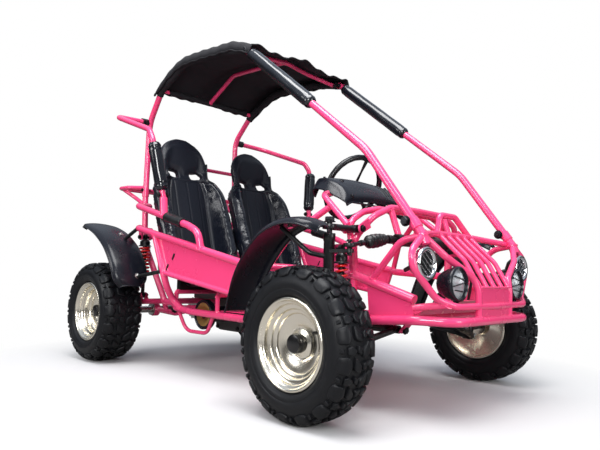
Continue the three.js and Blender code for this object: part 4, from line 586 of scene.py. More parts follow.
for _, side in SIDES:
    pivot = place(*upper_pivot, side)
    for dy, root in ((0.03, (0.27, -0.59, 0.525)), (-0.03, (0.25, -0.644, 0.535))):
        tower.lug(pivot + Y * dy, place(*root, side), Y, 0.013, 0.006)
    tower_bolts.bolt(pivot, -Y, 0.005, 0.034)
    pivot = place(*front_shock_top, side)
    for dy, root in ((0.022, (0.27, -0.6, 0.46)), (-0.022, (0.27, -0.612, 0.475))):
        tower.lug(pivot + Y * dy, place(*root, side), Y, 0.014, 0.006)
    tower_bolts.bolt(pivot, -Y, 0.005, 0.027)
tower_bolts.piece("tower_bolts", dark_steel)

# Roll hoop: two bent side tubes that rise behind the seats and arch over them, with a
# spine and a front bow under the cloth roof, and bars across.
hoop_side = [(0.256, 0.66, 0.7), (0.254, 0.663, 0.925), (0.251, 0.663, 1.063), (0.262, 0.549, 1.192),
             (0.265, 0.37, 1.27), (0.264, 0.1, 1.252), (0.263, -0.055, 1.214)]
spine = [(0, 0.549, 1.192), (0, 0.365, 1.289), (0, 0.164, 1.277), (0, 0.01, 1.26)]
bow = [(0.263, -0.03, 1.219), (0.12, 0.005, 1.243), (0, 0.01, 1.26)]
hoop_bend = 0.12
hoop = Shape()
runs = [(route(hoop_side, side), main_tube, hoop_bend) for _, side in SIDES]
runs += [(loop(bow), light_tube), (route(spine), light_tube),
         ([place(0.254, 0.663, 0.89), place(-0.254, 0.663, 0.89)], light_tube),
         ([place(0.262, 0.549, 1.192), place(-0.262, 0.549, 1.192)], light_tube)]
frame_tubes(hoop, runs)
hoop_bolts = Shape()
for _, side in SIDES:
    hoop.turned(both_ends([(0.0125, -0.02), (0.0155, -0.019)]), place(0.256, 0.6605, 0.735, side), Z, 24)
    hoop_bolts.bolt(place(0.256, 0.6605, 0.745, side), X * side, 0.004, 0.016)
hoop_bolts.piece("hoop_clamp_bolts", dark_steel)

# Rear rack: a tube loop behind the seats on two stays, with a bar across it.
rack_loop = [(0.256, 0.663, 0.757), (0.31, 0.72, 0.757), (0.31, 0.815, 0.76), (0, 0.815, 0.76)]
rack_stay = [(0.3, 0.79, 0.755), (0.27, 0.72, 0.71), (0.256, 0.66, 0.675)]
rack = Shape()
runs = [(loop(rack_loop), light_tube, 0.03), ([place(-0.31, 0.74, 0.757), place(0.31, 0.74, 0.757)], light_tube)]
runs += [(route(rack_stay, side), light_tube) for _, side in SIDES]
frame_tubes(rack, runs)

# Windscreen pillars: bent tubes clamped to the nose collars, each with a long foam pad in
# glossy black vinyl, drawn in at both ends, with one seam along its length.
screen = [(0.2675, -0.8385, 0.4925), (0.271, -0.644, 0.75), (0.263, -0.412, 0.935), (0.263, -0.058, 1.218)]
vinyl_pad = shaded("pad_vinyl", "seat_vinyl", (0.005, 0.0065, 0.011), (0.16, 0.28), 0.01, 40.0, 0.15, 0.1,
                   Coat_Weight=0.5, Coat_Roughness=0.1)


def pad(name, start, end, radius):
    """A foam sleeve, slightly wavy; thin is its radius at the hems and each end has a pinch behind the hem."""
    length, way = (end - start).length, (end - start).normalized()
    first, second = square_to(way)
    form, rings, count, steps, thin = Shape(), [], 36, 60, 0.0128
    for i in range(steps + 1):
        t = i / steps
        edge = min(t, 1 - t) * length
        full = thin + (radius - thin) * min(1, (edge / 0.016)) ** 0.45
        if 0.018 < edge < 0.03:
            full *= 0.955
        row = []
        for a, side_way in zip(once_round(count), circle(first, second, count)):
            seam = 0.0016 * math.exp(-((a - math.pi) / 0.11) ** 2)
            wave = noise.noise(Vector((a * 1.4, t * length * 22, radius * 50))) * 0.0006
            row.append(start + way * length * t + side_way * (full - seam + wave * min(1, edge / 0.02)))
        rings.append(row)
    form.loft(rings)
    form.piece(name, vinyl_pad, crease=60)


for name, side in SIDES:
    tube = Shape()
    tube.tube(route(screen, side), 0.0125, 0.2)
    foot = place(0.269, -0.796, 0.53, side)
    tube.turned([(0.013, -0.03), (0.0155, -0.029), (0.0155, 0.0), (0.013, 0.001)], place(0.2686, -0.806, 0.535, side),
                (place(*screen[1], side) - place(*screen[0], side)).normalized(), 24)
    tube.piece("pillar_tube_" + name, pink, "pillar_" + name)
    clamp = Shape()
    clamp.bolt(foot, X * side, 0.007, 0.017)
    clamp.bolt(place(0.263, -0.07, 1.208, side), X * side, 0.005, 0.015)
    clamp.piece("pillar_clamp_bolts_" + name, dark_steel)
    pad("pillar_pad_" + name, place(0.263, -0.412, 0.935, side), place(0.263, -0.085, 1.196, side), 0.023)

# Guard bars: tubes from the hoop out and forward past the shoulders, held in rubber
# bushes at the back and dropped through a foam pad to the arm tube.
guard = [(0.251, 0.663, 1.063), (0.43, 0.636, 1.05), (0.438, 0.323, 0.938), (0.44, 0.29, 0.895), (0.403, 0.25, 0.66)]
for name, side in SIDES:
    tube = Shape()
    tube.tube(route(guard, side), 0.0115, 0.06)
    tube.piece("guard_tube_" + name, pink, "guard_bar_" + name)
    fittings = Shape()
    start, end = place(0.265, 0.661, 1.062, side), place(0.297, 0.656, 1.06, side)
    fittings.turned([(0.0118, 0), (0.016, 0.001), (0.016, 0.031), (0.0118, 0.032)], start, (end - start).normalized(),
                    24)
    fittings.bolt(place(0.404, 0.255, 0.672, side), X * side, 0.005, 0.016)
    fittings.piece("guard_bushes_" + name, rubber)
    pad("guard_pad_" + name, place(0.4385, 0.281, 0.88, side), place(0.4065, 0.255, 0.69, side), 0.0255)

weld_beads()
base.piece("lower_frame_tubes", pink, "lower_frame")
for name, form in side_shapes.items():
    form.piece("side_frame_tubes_" + name, pink, "side_frame_" + name)
nose.piece("nose_tubes", pink, "nose_frame")
tower.piece("tower_tubes", pink, "tower_frame")
hoop.piece("hoop_tubes", pink, "roll_hoop")
rack.piece("rack_tubes", pink, "rear_rack")


# Tyres: low-pressure off road tyres with smooth sidewalls, ribs near the bead, large rounded
# shoulder blocks with small buttons between them, and slanted centre blocks.
TYRE, RIM, TREAD, PITCHES = axle_z, 0.118, 0.0085, 17
front_half, rear_half, rear_wheel_x = 0.065, 0.084, 0.448
tyre_rubber = shaded("tyre_rubber", "tyre", (0.0035, 0.004, 0.0058), (0.34, 0.55), 0.015, 420.0, 0.6, 0.1,
                     (0.0055, 0.006, 0.0078), 9.0, Specular_IOR_Level=0.24)
section = [(-0.7, 0), (-0.775, 0.012), (-0.8, 0.05), (-0.9, 0.085), (-0.955, 0.17), (-0.985, 0.26), (-0.975, 0.275),
           (-0.992, 0.29), (-1, 0.4), (-0.995, 0.5), (-0.978, 0.62), (-0.945, 0.74), (-0.88, 0.85), (-0.76, 0.93),
           (-0.58, 0.97), (-0.3, 0.99), (0, 1)]
section += [(-x, h) for x, h in section[-2::-1]]
tread_start, tread_end = 10, len(section) - 11
tread_blocks = [[(10.6, -0.28), (13.7, -0.3), (14.25, 0.0), (13.7, 0.28), (10.6, 0.26), (10.2, 0)],
                [(10.9, 0.44), (12.1, 0.44), (12.1, 0.57), (10.9, 0.57)],
                [(13.0, 0.4), (14.0, 0.34), (14.9, 0.5), (14.3, 0.64), (13.0, 0.62)],
                [(14.75, -0.3), (15.85, -0.02), (15.85, 0.24), (14.75, 0.14)],
                [(15.1, 0.34), (15.75, 0.42), (15.75, 0.64), (15.1, 0.56)]]


def tyre_point(s, sink, angle, half, bead):
    """s counts along the section, sink is the depth under its skin and angle goes round the wheel."""
    i = min(max(int(s), 0), len(section) - 2)
    (x0, h0), (x1, h1) = section[i], section[i + 1]
    t = s - i
    x, h = x0 + (x1 - x0) * t, h0 + (h1 - h0) * t
    run = Vector(((x1 - x0) * half, (h1 - h0) * (TYRE - bead)))
    run.normalize()
    x, r = x * half + run.y * sink, bead + h * (TYRE - bead) - run.x * sink
    return Vector((x, r * math.sin(angle), r * math.cos(angle)))


def knob(form, corners, half, bead):
    """A tread block on rounded corners (s, angle): a skirt, a soft edge and a low crowned top."""
    outline = []
    count = len(corners)
    for i, (s, a) in enumerate(corners):
        before, after = corners[i - 1], corners[(i + 1) % count]
        for t in (0.0, 0.5, 1.0):
            u = (s + (before[0] - s) * 0.22, a + (before[1] - a) * 0.22)
            v = (s + (after[0] - s) * 0.22, a + (after[1] - a) * 0.22)
            w = [(u[k] + (corners[i][k] - u[k]) * t, corners[i][k] + (v[k] - corners[i][k]) * t) for k in (0, 1)]
            outline.append((w[0][0] + (w[0][1] - w[0][0]) * t, w[1][0] + (w[1][1] - w[1][0]) * t))
    middle = [sum(p[k] for p in outline) / len(outline) for k in (0, 1)]
    rings = []
    for grow, sink in ((1.13, TREAD + 0.001), (1.03, TREAD * 0.25), (0.97, 0.0006), (0.86, 0), (0.45, 0)):
        grown = [[middle[k] + (p[k] - middle[k]) * grow for k in (0, 1)] for p in outline]
        rings.append([tyre_point(s, sink, a, half, bead) for s, a in grown])
    form.loft(rings)


def tyre(name, body, node_name, centre, half, side, start):
    bead, last = RIM + 0.0004, len(section) - 1
    form, rings = Shape(), []
    for angle in once_round(108):
        row = []
        for j in range(len(section)):
            edge = min(j - tread_start, tread_end - j)
            sink = 0 if edge < 0 else min(1, (edge + 1) / 2.5) * TREAD
            row.append(tyre_point(min(j, last - 1e-6), sink, angle, half, bead))
        rings.append(row)
    form.loft(rings, caps=False, round_trip=True)
    step = 2 * math.pi / PITCHES
    for k in range(PITCHES):
        for mirror in (False, True):
            shift = k * step + (step / 2 if mirror else 0)
            for points in tread_blocks:
                ring = [(last - s if mirror else s, shift + da * step) for s, da in points]
                knob(form, ring[::-1] if mirror else ring, half, bead)
    turn = Quaternion(Z, math.pi) if side == RIGHT else Quaternion()
    roll = Quaternion(X, start)
    form.points = [centre + turn @ (roll @ p) for p in form.points]
    form.piece(name, tyre_rubber, node_name, body=body, crease=46)


# Wheels: polished pressed steel rims with a stepped barrel and a domed disc, a plated hub
# nut under a black cap, and a rubber valve standing in the dish. The rims' warm beige colour is a painted reflection.
rim_steel_painted_reflection, tree, out = new_material("polished_rim_painted_reflection")
shader = node(tree, "BsdfPrincipled", in_Metallic=1.0)
gloss = use(tree, handling, Low=0.2, High=0.3, Scale=12.0)
spot = node(tree, "TexCoord")
flattened = node(tree, "Mapping")
flattened.inputs["Scale"].default_value = (220, 6, 6)
spun = node(tree, "TexNoise", in_Scale=1.0, in_Detail=4.0)
settled = use(tree, dust, Amount=0.02)
relief = node(tree, "Bump", in_Strength=0.03, in_Distance=0.0006)
# Painted reflection: the warm beige cast of the surroundings is put into the polished steel's own colour.
settled.inputs["Color"].default_value = (0.84, 0.79, 0.68, 1)
connect(tree, (spot, "Object", flattened, 0), (flattened, 0, spun, "Vector"), (spun, 0, relief, "Height"),
     (settled, "Color", shader, "Base Color"), (gloss, "Roughness", shader, "Roughness"),
     (relief, 0, shader, "Normal"), (shader, 0, out, 0))
cap_black = shaded("black_wheel_caps", "moulded_black", (0.006, 0.006, 0.007), (0.16, 0.3), 0.02, 160.0, 0.3, 0.05)


dish = [(0.001, 0.004), (0.26, 0.004), (0.285, 0.001), (0.36, 0.0005), (0.385, 0.0035), (0.43, 0.006), (0.52, 0.0095),
        (0.6, 0.0115), (0.64, 0.012), (0.655, 0.0165), (0.67, 0.0185), (0.7, 0.0195), (0.735, 0.0205), (0.748, 0.024)]
barrel = [(0.755, 0.5), (0.765, 0.53), (0.79, 0.545), (0.83, 0.55), (0.85, 0.57), (0.86, 0.7), (0.87, 0.74),
          (0.9, 0.76), (0.925, 0.79)]
flange = [(0.94, -0.003), (0.955, -0.001), (0.98, 0), (1.005, -0.001), (1.02, -0.003), (1.01, -0.0055), (0.985, -0.007)]
dish_back = [(0.7, 0.012), (0.5, 0.004), (0.3, -0.005)]


def wheel(name, body, rim_node, centre, half, side, valve_angle):
    """Depths in dish count from the disc, in flange from the lip; in barrel they are shares of the half width."""
    out_way = X * side
    lip, disc = half * 0.88, half * 0.1
    profile = [(r, disc + d) for r, d in dish] + [(r, half * d) for r, d in barrel] + [(r, lip + d) for r, d in flange]
    profile += [(0.975, half * 0.55), (0.965, 0), (0.975, -half * 0.55)] + [(r, -lip - d) for r, d in flange[:1:-1]]
    profile += [(0.95, 0.001 - lip), (0.93, -half * 0.75), (0.925, half * 0.3)] + [(r, disc + d) for r, d in dish_back]
    profile += [(0.27, -0.026), (0.001, -0.026)]
    form = Shape()
    form.turned([(r * RIM, d) for r, d in profile], centre, out_way, 72)
    form.piece(name, rim_steel_painted_reflection, rim_node, body=body, crease=50)
    hub = Shape()
    nut = [(0.0195, 0.003), (0.0195, 0.005), (0.017, 0.0055), (0.017, 0.017), (0.015, 0.0185), (0.001, 0.0185)]
    hub.turned([(r, disc + d) for r, d in nut], centre, out_way, 6)
    hub.piece(name + "_nut", plated, body=body, bevel=0.0008)
    cover = Shape()
    cap = [(0.0225, 0.0065), (0.0252, 0.008), (0.0258, 0.011), (0.0252, 0.0265), (0.0228, 0.031), (0.0175, 0.0328),
           (0.0005, 0.0332)]
    cover.turned([(r, disc + d) for r, d in cap], centre, out_way, 40)
    way = Y * math.cos(valve_angle) + Z * math.sin(valve_angle)
    root = centre + way * RIM * 0.8 + out_way * half * 0.545
    cover.turned([(0.0062, 0), (0.0062, 0.002), (0.0045, 0.0035), (0.0042, 0.014), (0.0032, 0.0145), (0.0032, 0.019),
                  (0.0005, 0.0195)], root, out_way, 20)
    cover.piece(name + "_cap_and_valve", cap_black, body=body)


for name, side in SIDES:
    front, rear = place(0.48, front_axle_y, axle_z, side), place(rear_wheel_x, rear_axle_y, axle_z, side)
    tyre("front_tyre_rubber_" + name, "front_wheel_" + name, "front_tyre_" + name, front, front_half, side, 0.3)
    tyre("rear_tyre_rubber_" + name, "rear_axle", "rear_tyre_" + name, rear, rear_half, side, 0.9)
    wheel("front_wheel_disc_" + name, "front_wheel_" + name, "front_rim_" + name, front, front_half,
          side, -0.4 - math.pi)
    wheel("rear_wheel_disc_" + name, "rear_axle", "", rear, rear_half, side, -1.9)

# Rear axle: a live steel shaft between the rear wheels with the chain sprocket, the drilled
# brake disc, their hubs and the collars that run against the bearing rings.
axle_at = place(0, rear_axle_y, axle_z)
shaft = Shape()
shaft.turned(both_ends([(0.0005, -0.468), (0.0135, -0.468), (0.0148, -0.466)]), axle_at, X, 32)
for side in (RIGHT, LEFT):
    shaft.turned([(0.0148, 0), (0.026, 0.0005), (0.026, 0.0095), (0.0148, 0.01)], axle_at + X * side * 0.21736,
                 X * side, 32)
    shaft.turned([(0.0148, 0), (0.032, 0), (0.032, 0.006), (0.022, 0.009), (0.022, 0.03), (0.0148, 0.03)],
                 axle_at + X * side * (rear_wheel_x - 0.058), X * side, 28)
shaft.turned([(0.0148, 0.006), (0.026, 0.0065), (0.026, 0.0195), (0.0148, 0.02)], axle_at, X, 32)
shaft.turned([(0.0148, 0), (0.026, 0.0005), (0.026, 0.0195), (0.0148, 0.02)], axle_at + X * 0.08, X, 32)
teeth, tooth_count = [], 14
for angle in once_round(tooth_count * 8):
    rise = 0.5 + 0.5 * math.cos(tooth_count * angle)
    radius = 0.0445 + 0.0072 * rise ** 1.5
    teeth.append((radius * math.cos(angle), radius * math.sin(angle)))
shaft.loft([[axle_at + X * d + Y * a + Z * b for a, b in teeth] for d in (0.0004, 0.0056)])
shaft.piece("axle_shaft", plated, "rear_axle", body="rear_axle")
disc_plate = Shape()
sectors = 24
for k in range(sectors):
    # Each sector of the disc has a round hole through it.
    start, end = 2 * math.pi * k / sectors, 2 * math.pi * (k + 1) / sectors
    middle = (start + end) / 2
    mid_radius = 0.041 if k % 2 else 0.036
    outer = [(0.052, start + (end - start) * t / 4) for t in range(5)]
    inner = [(0.026, end - (end - start) * t / 4) for t in range(5)]
    border = [(r * math.cos(a), r * math.sin(a)) for r, a in outer + inner]
    at = (mid_radius * math.cos(middle), mid_radius * math.sin(middle))
    hole = []
    for p in border:
        away = Vector((p[0] - at[0], p[1] - at[1])).normalized() * 0.0026
        hole.append((at[0] + away.x, at[1] + away.y))
    rings = [[axle_at + X * d + Y * a + Z * b for a, b in edge]
             for d, edge in ((0.1004, border), (0.1046, border), (0.1046, hole), (0.1004, hole))]
    disc_plate.loft(rings, round_trip=True)
disc_plate.piece("brake_disc", plated, body="rear_axle", crease=30)

# Swing arm: a welded steel fork from the pivot tube back to the axle's bearing rings, with
# the shock ears on its cross tube and the brake caliper over the disc.
swing = Shape()
runs = [([place(x, y, z, RIGHT), place(x, y, z)], radius)
        for x, y, z, radius in ((0.235, 0.3, 0.226, 0.015), (0.31, 0.545, 0.243, 0.012))]
for _, side in SIDES:
    low, end = place(0.205, 0.44, 0.197, side), place(0.205, rear_axle_y, axle_z, side)
    runs += [([place(0.205, 0.3, 0.226, side), low, end - Y * 0.028], 0.012),
             ([low.lerp(end, 0.4), place(0.205, 0.545, 0.243, side)], 0.01)]
for run in runs:
    swing.tube(*run)
swing_bolts = Shape()
for _, side in SIDES:
    end = place(0.205, rear_axle_y, axle_z, side)
    swing.turned(both_ends([(0.016, -0.012), (0.029, -0.012), (0.03, -0.011)]), end, X, 40, round_trip=True)
    foot = place(*rear_shock_foot, side)
    for turn in (-0.013, 0.013):
        swing.lug(foot + X * turn, place(0.3, 0.545, 0.246, side) + X * turn, X, 0.012, 0.005)
    swing_bolts.bolt(foot, X * side, 0.005, 0.0165)
    for angle in once_round(3):
        way = Y * math.cos(angle + 0.5) + Z * math.sin(angle + 0.5)
        swing_bolts.turned([(0.0032, 0), (0.0032, 0.003), (0.0005, 0.003)],
                           end + X * side * 0.012 + way * 0.023, X * side, 6)
swing.piece("swing_arm_tubes", pink, "swing_arm", body="swing_arm")
swing_bolts.piece("swing_arm_bolts", dark_steel, body="swing_arm")
caliper = Shape()
spot = place(0.1025, 0.57, 0.232)
for turn in (-1, 1):
    caliper.block(spot + X * turn * 0.0105, (0.0115, 0.044, 0.034))
    caliper.turned([(0.011, 0), (0.011, 0.004), (0.009, 0.006), (0.0005, 0.006)], spot + X * turn * 0.016, X * turn, 24)
caliper.block(spot + Z * 0.0135 - Y * 0.014, (0.03, 0.013, 0.009))
caliper.piece("brake_caliper", satin_black, body="swing_arm", bevel=0.0018)

# Front suspension, each side: a black welded wishbone on its long bolt, a forged king pin, the
# knuckle post with stub axle and steering arm, a short upper arm and a booted track rod.
black_paint = shaded("black_chassis_paint", "black_metal", (0.006, 0.0065, 0.0085), (0.24, 0.42), 0.03, 200.0,
                     0.5, 0.08)
boot_rubber = shaded("boot_rubber", "moulded_black", (0.006, 0.0065, 0.0075), (0.32, 0.5), 0.03, 240.0, 0.5, 0.1)
king_pin_x, steer_x, rack_y, rack_z = 0.388, 0.378, -0.68, 0.489
for name, side in SIDES:
    inner, outer = place(*wishbone_pivot, side), place(king_pin_x, front_axle_y, 0.17, side)
    clevis = place(*front_shock_foot, side)
    arm, arm_bolts = Shape(), Shape()
    arm.collar(0.0072, 0.012, 0.08, inner, Y, 28)
    for turn in (-1, 1):
        root, fork = inner + Y * turn * 0.068, outer + Y * turn * 0.0155
        arm.tube([root, root.lerp(fork, 0.82), fork], 0.0095, 0.05)
        arm.turned([(0.0125, -0.0045), (0.0125, 0.0045)], fork, Y, 28)
        on_leg = root.lerp(fork, (clevis.x - root.x) / (fork.x - root.x))
        arm.lug(clevis + Y * turn * 0.0165, on_leg + Z * 0.002, Y, 0.011, 0.005)
    arm.bar(inner.lerp(outer, 0.42) + Y * 0.04, inner.lerp(outer, 0.42) - Y * 0.04, 0.006)
    arm_bolts.bolt(outer, -Y, 0.006, 0.02)
    arm_bolts.bolt(clevis, -Y, 0.005, 0.019)
    arm.piece("wishbone_" + name, black_paint, "lower_arm_" + name, body="lower_arm_" + name)
    arm_bolts.piece("wishbone_bolts_" + name, plated, body="lower_arm_" + name)
    pin = Shape()
    pin.eye(0.0068, 0.013, 0.005, outer, Y)
    base_z = place(king_pin_x, front_axle_y, 0.188, side)
    pin.bar(outer + Z * 0.011, place(king_pin_x, front_axle_y, 0.54, side), 0.0078, 24)
    pin.turned([(0.0078, -0.0044), (0.016, -0.0044), (0.016, -0.0006), (0.0078, -0.0006)], base_z, Z, 28)
    pin.turned([(0.0078, 0), (0.0165, 0), (0.0165, 0.002), (0.0078, 0.002)],
               place(king_pin_x, front_axle_y, 0.5275, side), Z, 28)
    pin.turned([(0.0078, 0.0025), (0.0145, 0.0025), (0.015, 0.004), (0.015, 0.0125), (0.0135, 0.0145),
                (0.0078, 0.0145)], place(king_pin_x, front_axle_y, 0.5275, side), Z, 6)
    pin.piece("king_pin_steel_" + name, dark_steel, "king_pin_" + name, body="king_pin_" + name)
    post = Shape()
    post.turned([(0.0088, 0), (0.0165, 0), (0.017, 0.001), (0.017, 0.02), (0.0155, 0.022), (0.0155, 0.286),
                 (0.017, 0.288), (0.017, 0.307), (0.0165, 0.308), (0.0088, 0.308)], base_z, Z, 32, round_trip=True)
    start = place(king_pin_x, front_axle_y, 0.203, side)
    post.turned([(0.015, 0.0), (0.015, 0.018), (0.0135, 0.02), (0.0135, 0.05), (0.0108, 0.052), (0.0108, 0.1)], start,
                X * side, 28)
    steer = place(steer_x, rack_y, 0.447, side)
    arm_root = place(king_pin_x, front_axle_y, 0.447, side)
    post.lug(steer, arm_root - Y * 0.01, Z, 0.0125, 0.0095)
    stay = route([(0.388, -0.615, 0.43), (0.43, -0.58, 0.44), (0.465, -0.5, 0.512)], side)
    post.tube(stay, 0.0068, 0.03)
    post.piece("knuckle_post_" + name, black_paint, "knuckle_" + name, body="knuckle_" + name)
    stud = Shape()
    stud.bar(steer, steer + Z * 0.027, 0.0038, 20)
    stud.turned([(0.0038, 0.0255), (0.0115, 0.0255), (0.0115, 0.0275), (0.0075, 0.0277), (0.0072, 0.031),
                 (0.0005, 0.031)], steer, Z, 24)
    stud.turned([(0.0038, -0.0125), (0.0075, -0.0125), (0.0075, -0.0052), (0.0038, -0.005)], steer, Z, 6)
    stud.piece("ball_stud_" + name, dark_steel, body="knuckle_" + name)
    upper_in, upper_out = place(*upper_pivot, side), place(king_pin_x, front_axle_y, 0.515, side)
    short = Shape()
    short.collar(0.0056, 0.0118, 0.018, upper_in, Y, 28)
    short.tube([upper_in, upper_out - X * side * 0.015], 0.0095)
    short.tube([upper_in + Y * 0.012, upper_out + Y * 0.008 - X * side * 0.014], 0.0068)
    short.eye(0.0132, 0.02, 0.007, upper_out, Z, 36)
    short.piece("upper_link_" + name, black_paint, "upper_arm_" + name, body="upper_arm_" + name)
    rod_start, rod_eye = place(0.214, rack_y, rack_z, side), place(steer_x, rack_y, 0.463, side)
    along = (rod_eye - rod_start).normalized()
    rod = Shape()
    rod.bar(rod_start + along * 0.006, rod_eye - along * 0.015, 0.0058, 24)
    rod.turned([(0.006, 0), (0.0095, 0), (0.0095, 0.009), (0.006, 0.009)], rod_start + along * 0.112, along, 6)
    rod.turned(both_ends([(0.0125, -0.005), (0.0165, -0.005), (0.017, -0.0035)]), rod_eye, Z, 32, round_trip=True)
    rod.bar(rod_start - Y * 0.006, rod_start + Y * 0.006, 0.006)
    rod.piece("tie_rod_" + name, black_paint, "track_rod_" + name, body="track_rod_" + name)
    boot = Shape()
    profile = [(0.0065, 0.0035), (0.0125, 0.004), (0.0132, 0.006), (0.0132, 0.011), (0.0118, 0.012)]
    for k in range(29):
        t = k / 28
        swell = 0.0125 + 0.0062 * math.sin(math.pi * (0.1 + 0.72 * t))
        profile.append((swell + 0.0021 * math.cos(math.pi * 2 * 4.5 * t), 0.014 + 0.076 * t))
    profile += [(0.0085, 0.0925), (0.0085, 0.0985), (0.0062, 0.0988)]
    boot.turned(profile, rod_start, along, 40)
    boot.piece("steering_boot_" + name, boot_rubber, body="track_rod_" + name, crease=60)

# Shocks: black bodies and rods between two seats, with a red coil spring round each.
red_coat = shaded("red_spring_coat", "spring_paint", (0.8, 0.012, 0.016), (0.18, 0.34), 0.0, 160.0, 0.3, 0.05,
                  Coat_Weight=0.5)
for kind, top_at, foot_at, bolt_way, coil, wire, curls in (
    ("front", front_shock_top, front_shock_foot, Y, 0.0158, 0.0034, 8),
    ("rear", rear_shock_top, rear_shock_foot, X, 0.0205, 0.0042, 8),
):
    for name, side in SIDES:
        top, foot = place(*top_at, side), place(*foot_at, side)
        span = (top - foot).length
        upper, lower = span * 0.84, span * 0.36
        seat = coil + wire + 0.0026
        stem = kind + "_shock_" + name
        body = Shape()
        body.eye(0.0058, 0.013, 0.006, top, bolt_way)
        body.turned([(0.0055, span * 0.54), (0.009, span * 0.54 + 0.001), (0.009, upper), (seat, upper),
                     (seat, upper + 0.003), (seat * 0.94, upper + 0.0045), (seat * 0.78, upper + 0.006),
                     (seat * 0.8, span - 0.02), (seat * 0.62, span - 0.014), (0.009, span - 0.009)], foot, Z, 36)
        body.piece(stem + "_case", black_paint, stem + "_body", body=stem + "_body")
        rod = Shape()
        rod.eye(0.0078, 0.013, 0.006, foot, bolt_way)
        rod.turned([(0.007, 0.011), (0.0078, 0.013), (0.0078, lower - 0.006), (seat * 0.8, lower - 0.005),
                    (seat, lower - 0.003), (seat, lower), (0.0052, lower), (0.0048, span * 0.66)], foot, Z, 36)
        rod.piece(stem + "_stem", black_paint, stem + "_rod", body=stem + "_rod")
        form, rings, steps = Shape(), [], 26
        total = curls * steps
        low, high = foot.z + lower + wire + 0.0003, foot.z + upper - wire - 0.0003
        for k in range(total + 1):
            turns = k / steps
            # The first and last curl lie nearly flat against their seats.
            t = min(1, max(0, (turns - 0.7) / (curls - 1.4)))
            height = low + (high - low) * (0.05 * min(1, turns / 0.7) + 0.9 * t
                                           + 0.05 * max(0, (turns - curls + 0.7) / 0.7))
            angle = 2 * math.pi * turns
            outward = Vector((math.cos(angle), math.sin(angle), 0))
            centre = Vector((foot.x, foot.y, height)) + outward * coil
            rings.append([centre + step * wire for step in circle(outward, Z, 14)])
        form.loft(rings)
        made = form.bare(stem + "_coil", red_coat)
        made.data.shade_smooth()
        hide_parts(stem + "_spring")
        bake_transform(made)


# Floor pan: folded sheet steel from the toe board to the seats, painted pink on both faces,
# with pressed ribs and two pairs of ears for the pedals.
pan_rows = [(0.2, -0.835, 0.305), (0.235, -0.8, 0.2676), (0.235, -0.49, 0.244), (0.27, -0.22, 0.2255),
            (0.295, 0.0, 0.2255)]
pedal_pivots = {"brake_pedal": place(0.14, -0.7, 0.295), "throttle_pedal": place(0.225, -0.7, 0.295)}
pan = Shape()
lift = 0.0126
edge_left = [place(h, y, z) + Z * lift for h, y, z in pan_rows]
edge_right = [place(h, y, z, RIGHT) + Z * lift for h, y, z in pan_rows]
for (a, b), (c, d) in zip(zip(edge_left, edge_left[1:]), zip(edge_right, edge_right[1:])):
    pan.slab([a, b, d, c], 0.003)
for x in (-0.18, -0.09, 0.0, 0.09, 0.18):
    for (h0, y0, z0), (h1, y1, z1) in zip(pan_rows[1:], pan_rows[2:]):
        a, b = place(x, y0, z0) + Z * (lift + 0.001), place(x, y1, z1) + Z * (lift + 0.001)
        pan.tube([a.lerp(b, 0.08), a.lerp(b, 0.92)], 0.0028, 0.02, 10)
for pivot in pedal_pivots.values():
    for turn in (-0.016, 0.016):
        pan.lug(pivot + X * turn, pivot + X * turn - Z * 0.022, X, 0.0085, 0.004)
pan.piece("floor_sheet", pink, "floor_pan", crease=30)
ears = Shape()
for pivot in pedal_pivots.values():
    ears.bolt(pivot, X, 0.004, 0.0185)
ears.piece("pedal_bolts", plated)

# Pedals: a bent steel lever on a tube round its bolt, with a ribbed rubber pad on a plate.
for node_name, pivot in pedal_pivots.items():
    head = pivot + Vector((0, -0.014, 0.12))
    lever = Shape()
    lever.collar(0.0046, 0.009, 0.009, pivot, X, 24)
    lever.tube([pivot + Z * 0.006, pivot.lerp(head, 0.5) - Y * 0.003, head - Z * 0.02], 0.0048, 0.05)
    lever.block(head - Y * -0.0015, (0.05, 0.003, 0.07))
    lever.piece(node_name + "_lever", satin_black, node_name, body=node_name, bevel=0.0008)
    tread = Shape()
    tread.block(head - Y * 0.0012, (0.048, 0.002, 0.068))
    for k in range(7):
        tread.block(head - Y * 0.0022 + Z * (k - 3) * 0.009, (0.042, 0.0018, 0.0045))
    tread.piece(node_name + "_rubber", rubber, body=node_name, bevel=0.0006)

# Seats: two one-piece buckets of moulded foam under sewn black vinyl, with slots below the
# head rest, matt centre panels, glossy side bolsters and piping, on steel cross feet.
spine_rows = [(-0.1, 0.36, 0.165, 0.015), (-0.06, 0.38, 0.176, 0.035), (0.1, 0.362, 0.178, 0.06),
              (0.24, 0.354, 0.178, 0.08), (0.305, 0.388, 0.178, 0.1), (0.345, 0.46, 0.178, 0.11),
              (0.395, 0.62, 0.178, 0.095), (0.42, 0.71, 0.174, 0.076), (0.434, 0.765, 0.15, 0.05),
              (0.441, 0.795, 0.118, 0.03), (0.452, 0.865, 0.119, 0.024), (0.459, 0.915, 0.106, 0.016),
              (0.463, 0.948, 0.08, 0.008), (0.465, 0.968, 0.045, 0.003), (0.4655, 0.976, 0.015, 0.001)]
wraps = [(-1, 0.65), (-0.84, 1), (-0.54, 0.08), (-0.25, 0.17), (0, 0.2), (0.25, 0.17), (0.54, 0.08), (0.84, 1),
         (1, 0.65)]


def eased(rows, at):
    """The row at a place counted along rows, on a smooth curve through them."""
    i = min(int(at), len(rows) - 2)
    t = at - i
    a, b, c, d = (rows[min(max(k, 0), len(rows) - 1)] for k in (i - 1, i, i + 1, i + 2))
    return tuple(0.5 * (2 * q + (r - p) * t + (2 * p - 5 * q + 4 * r - s) * t * t + (3 * q - p - 3 * r + s) * t ** 3)
                 for p, q, r, s in zip(a, b, c, d))


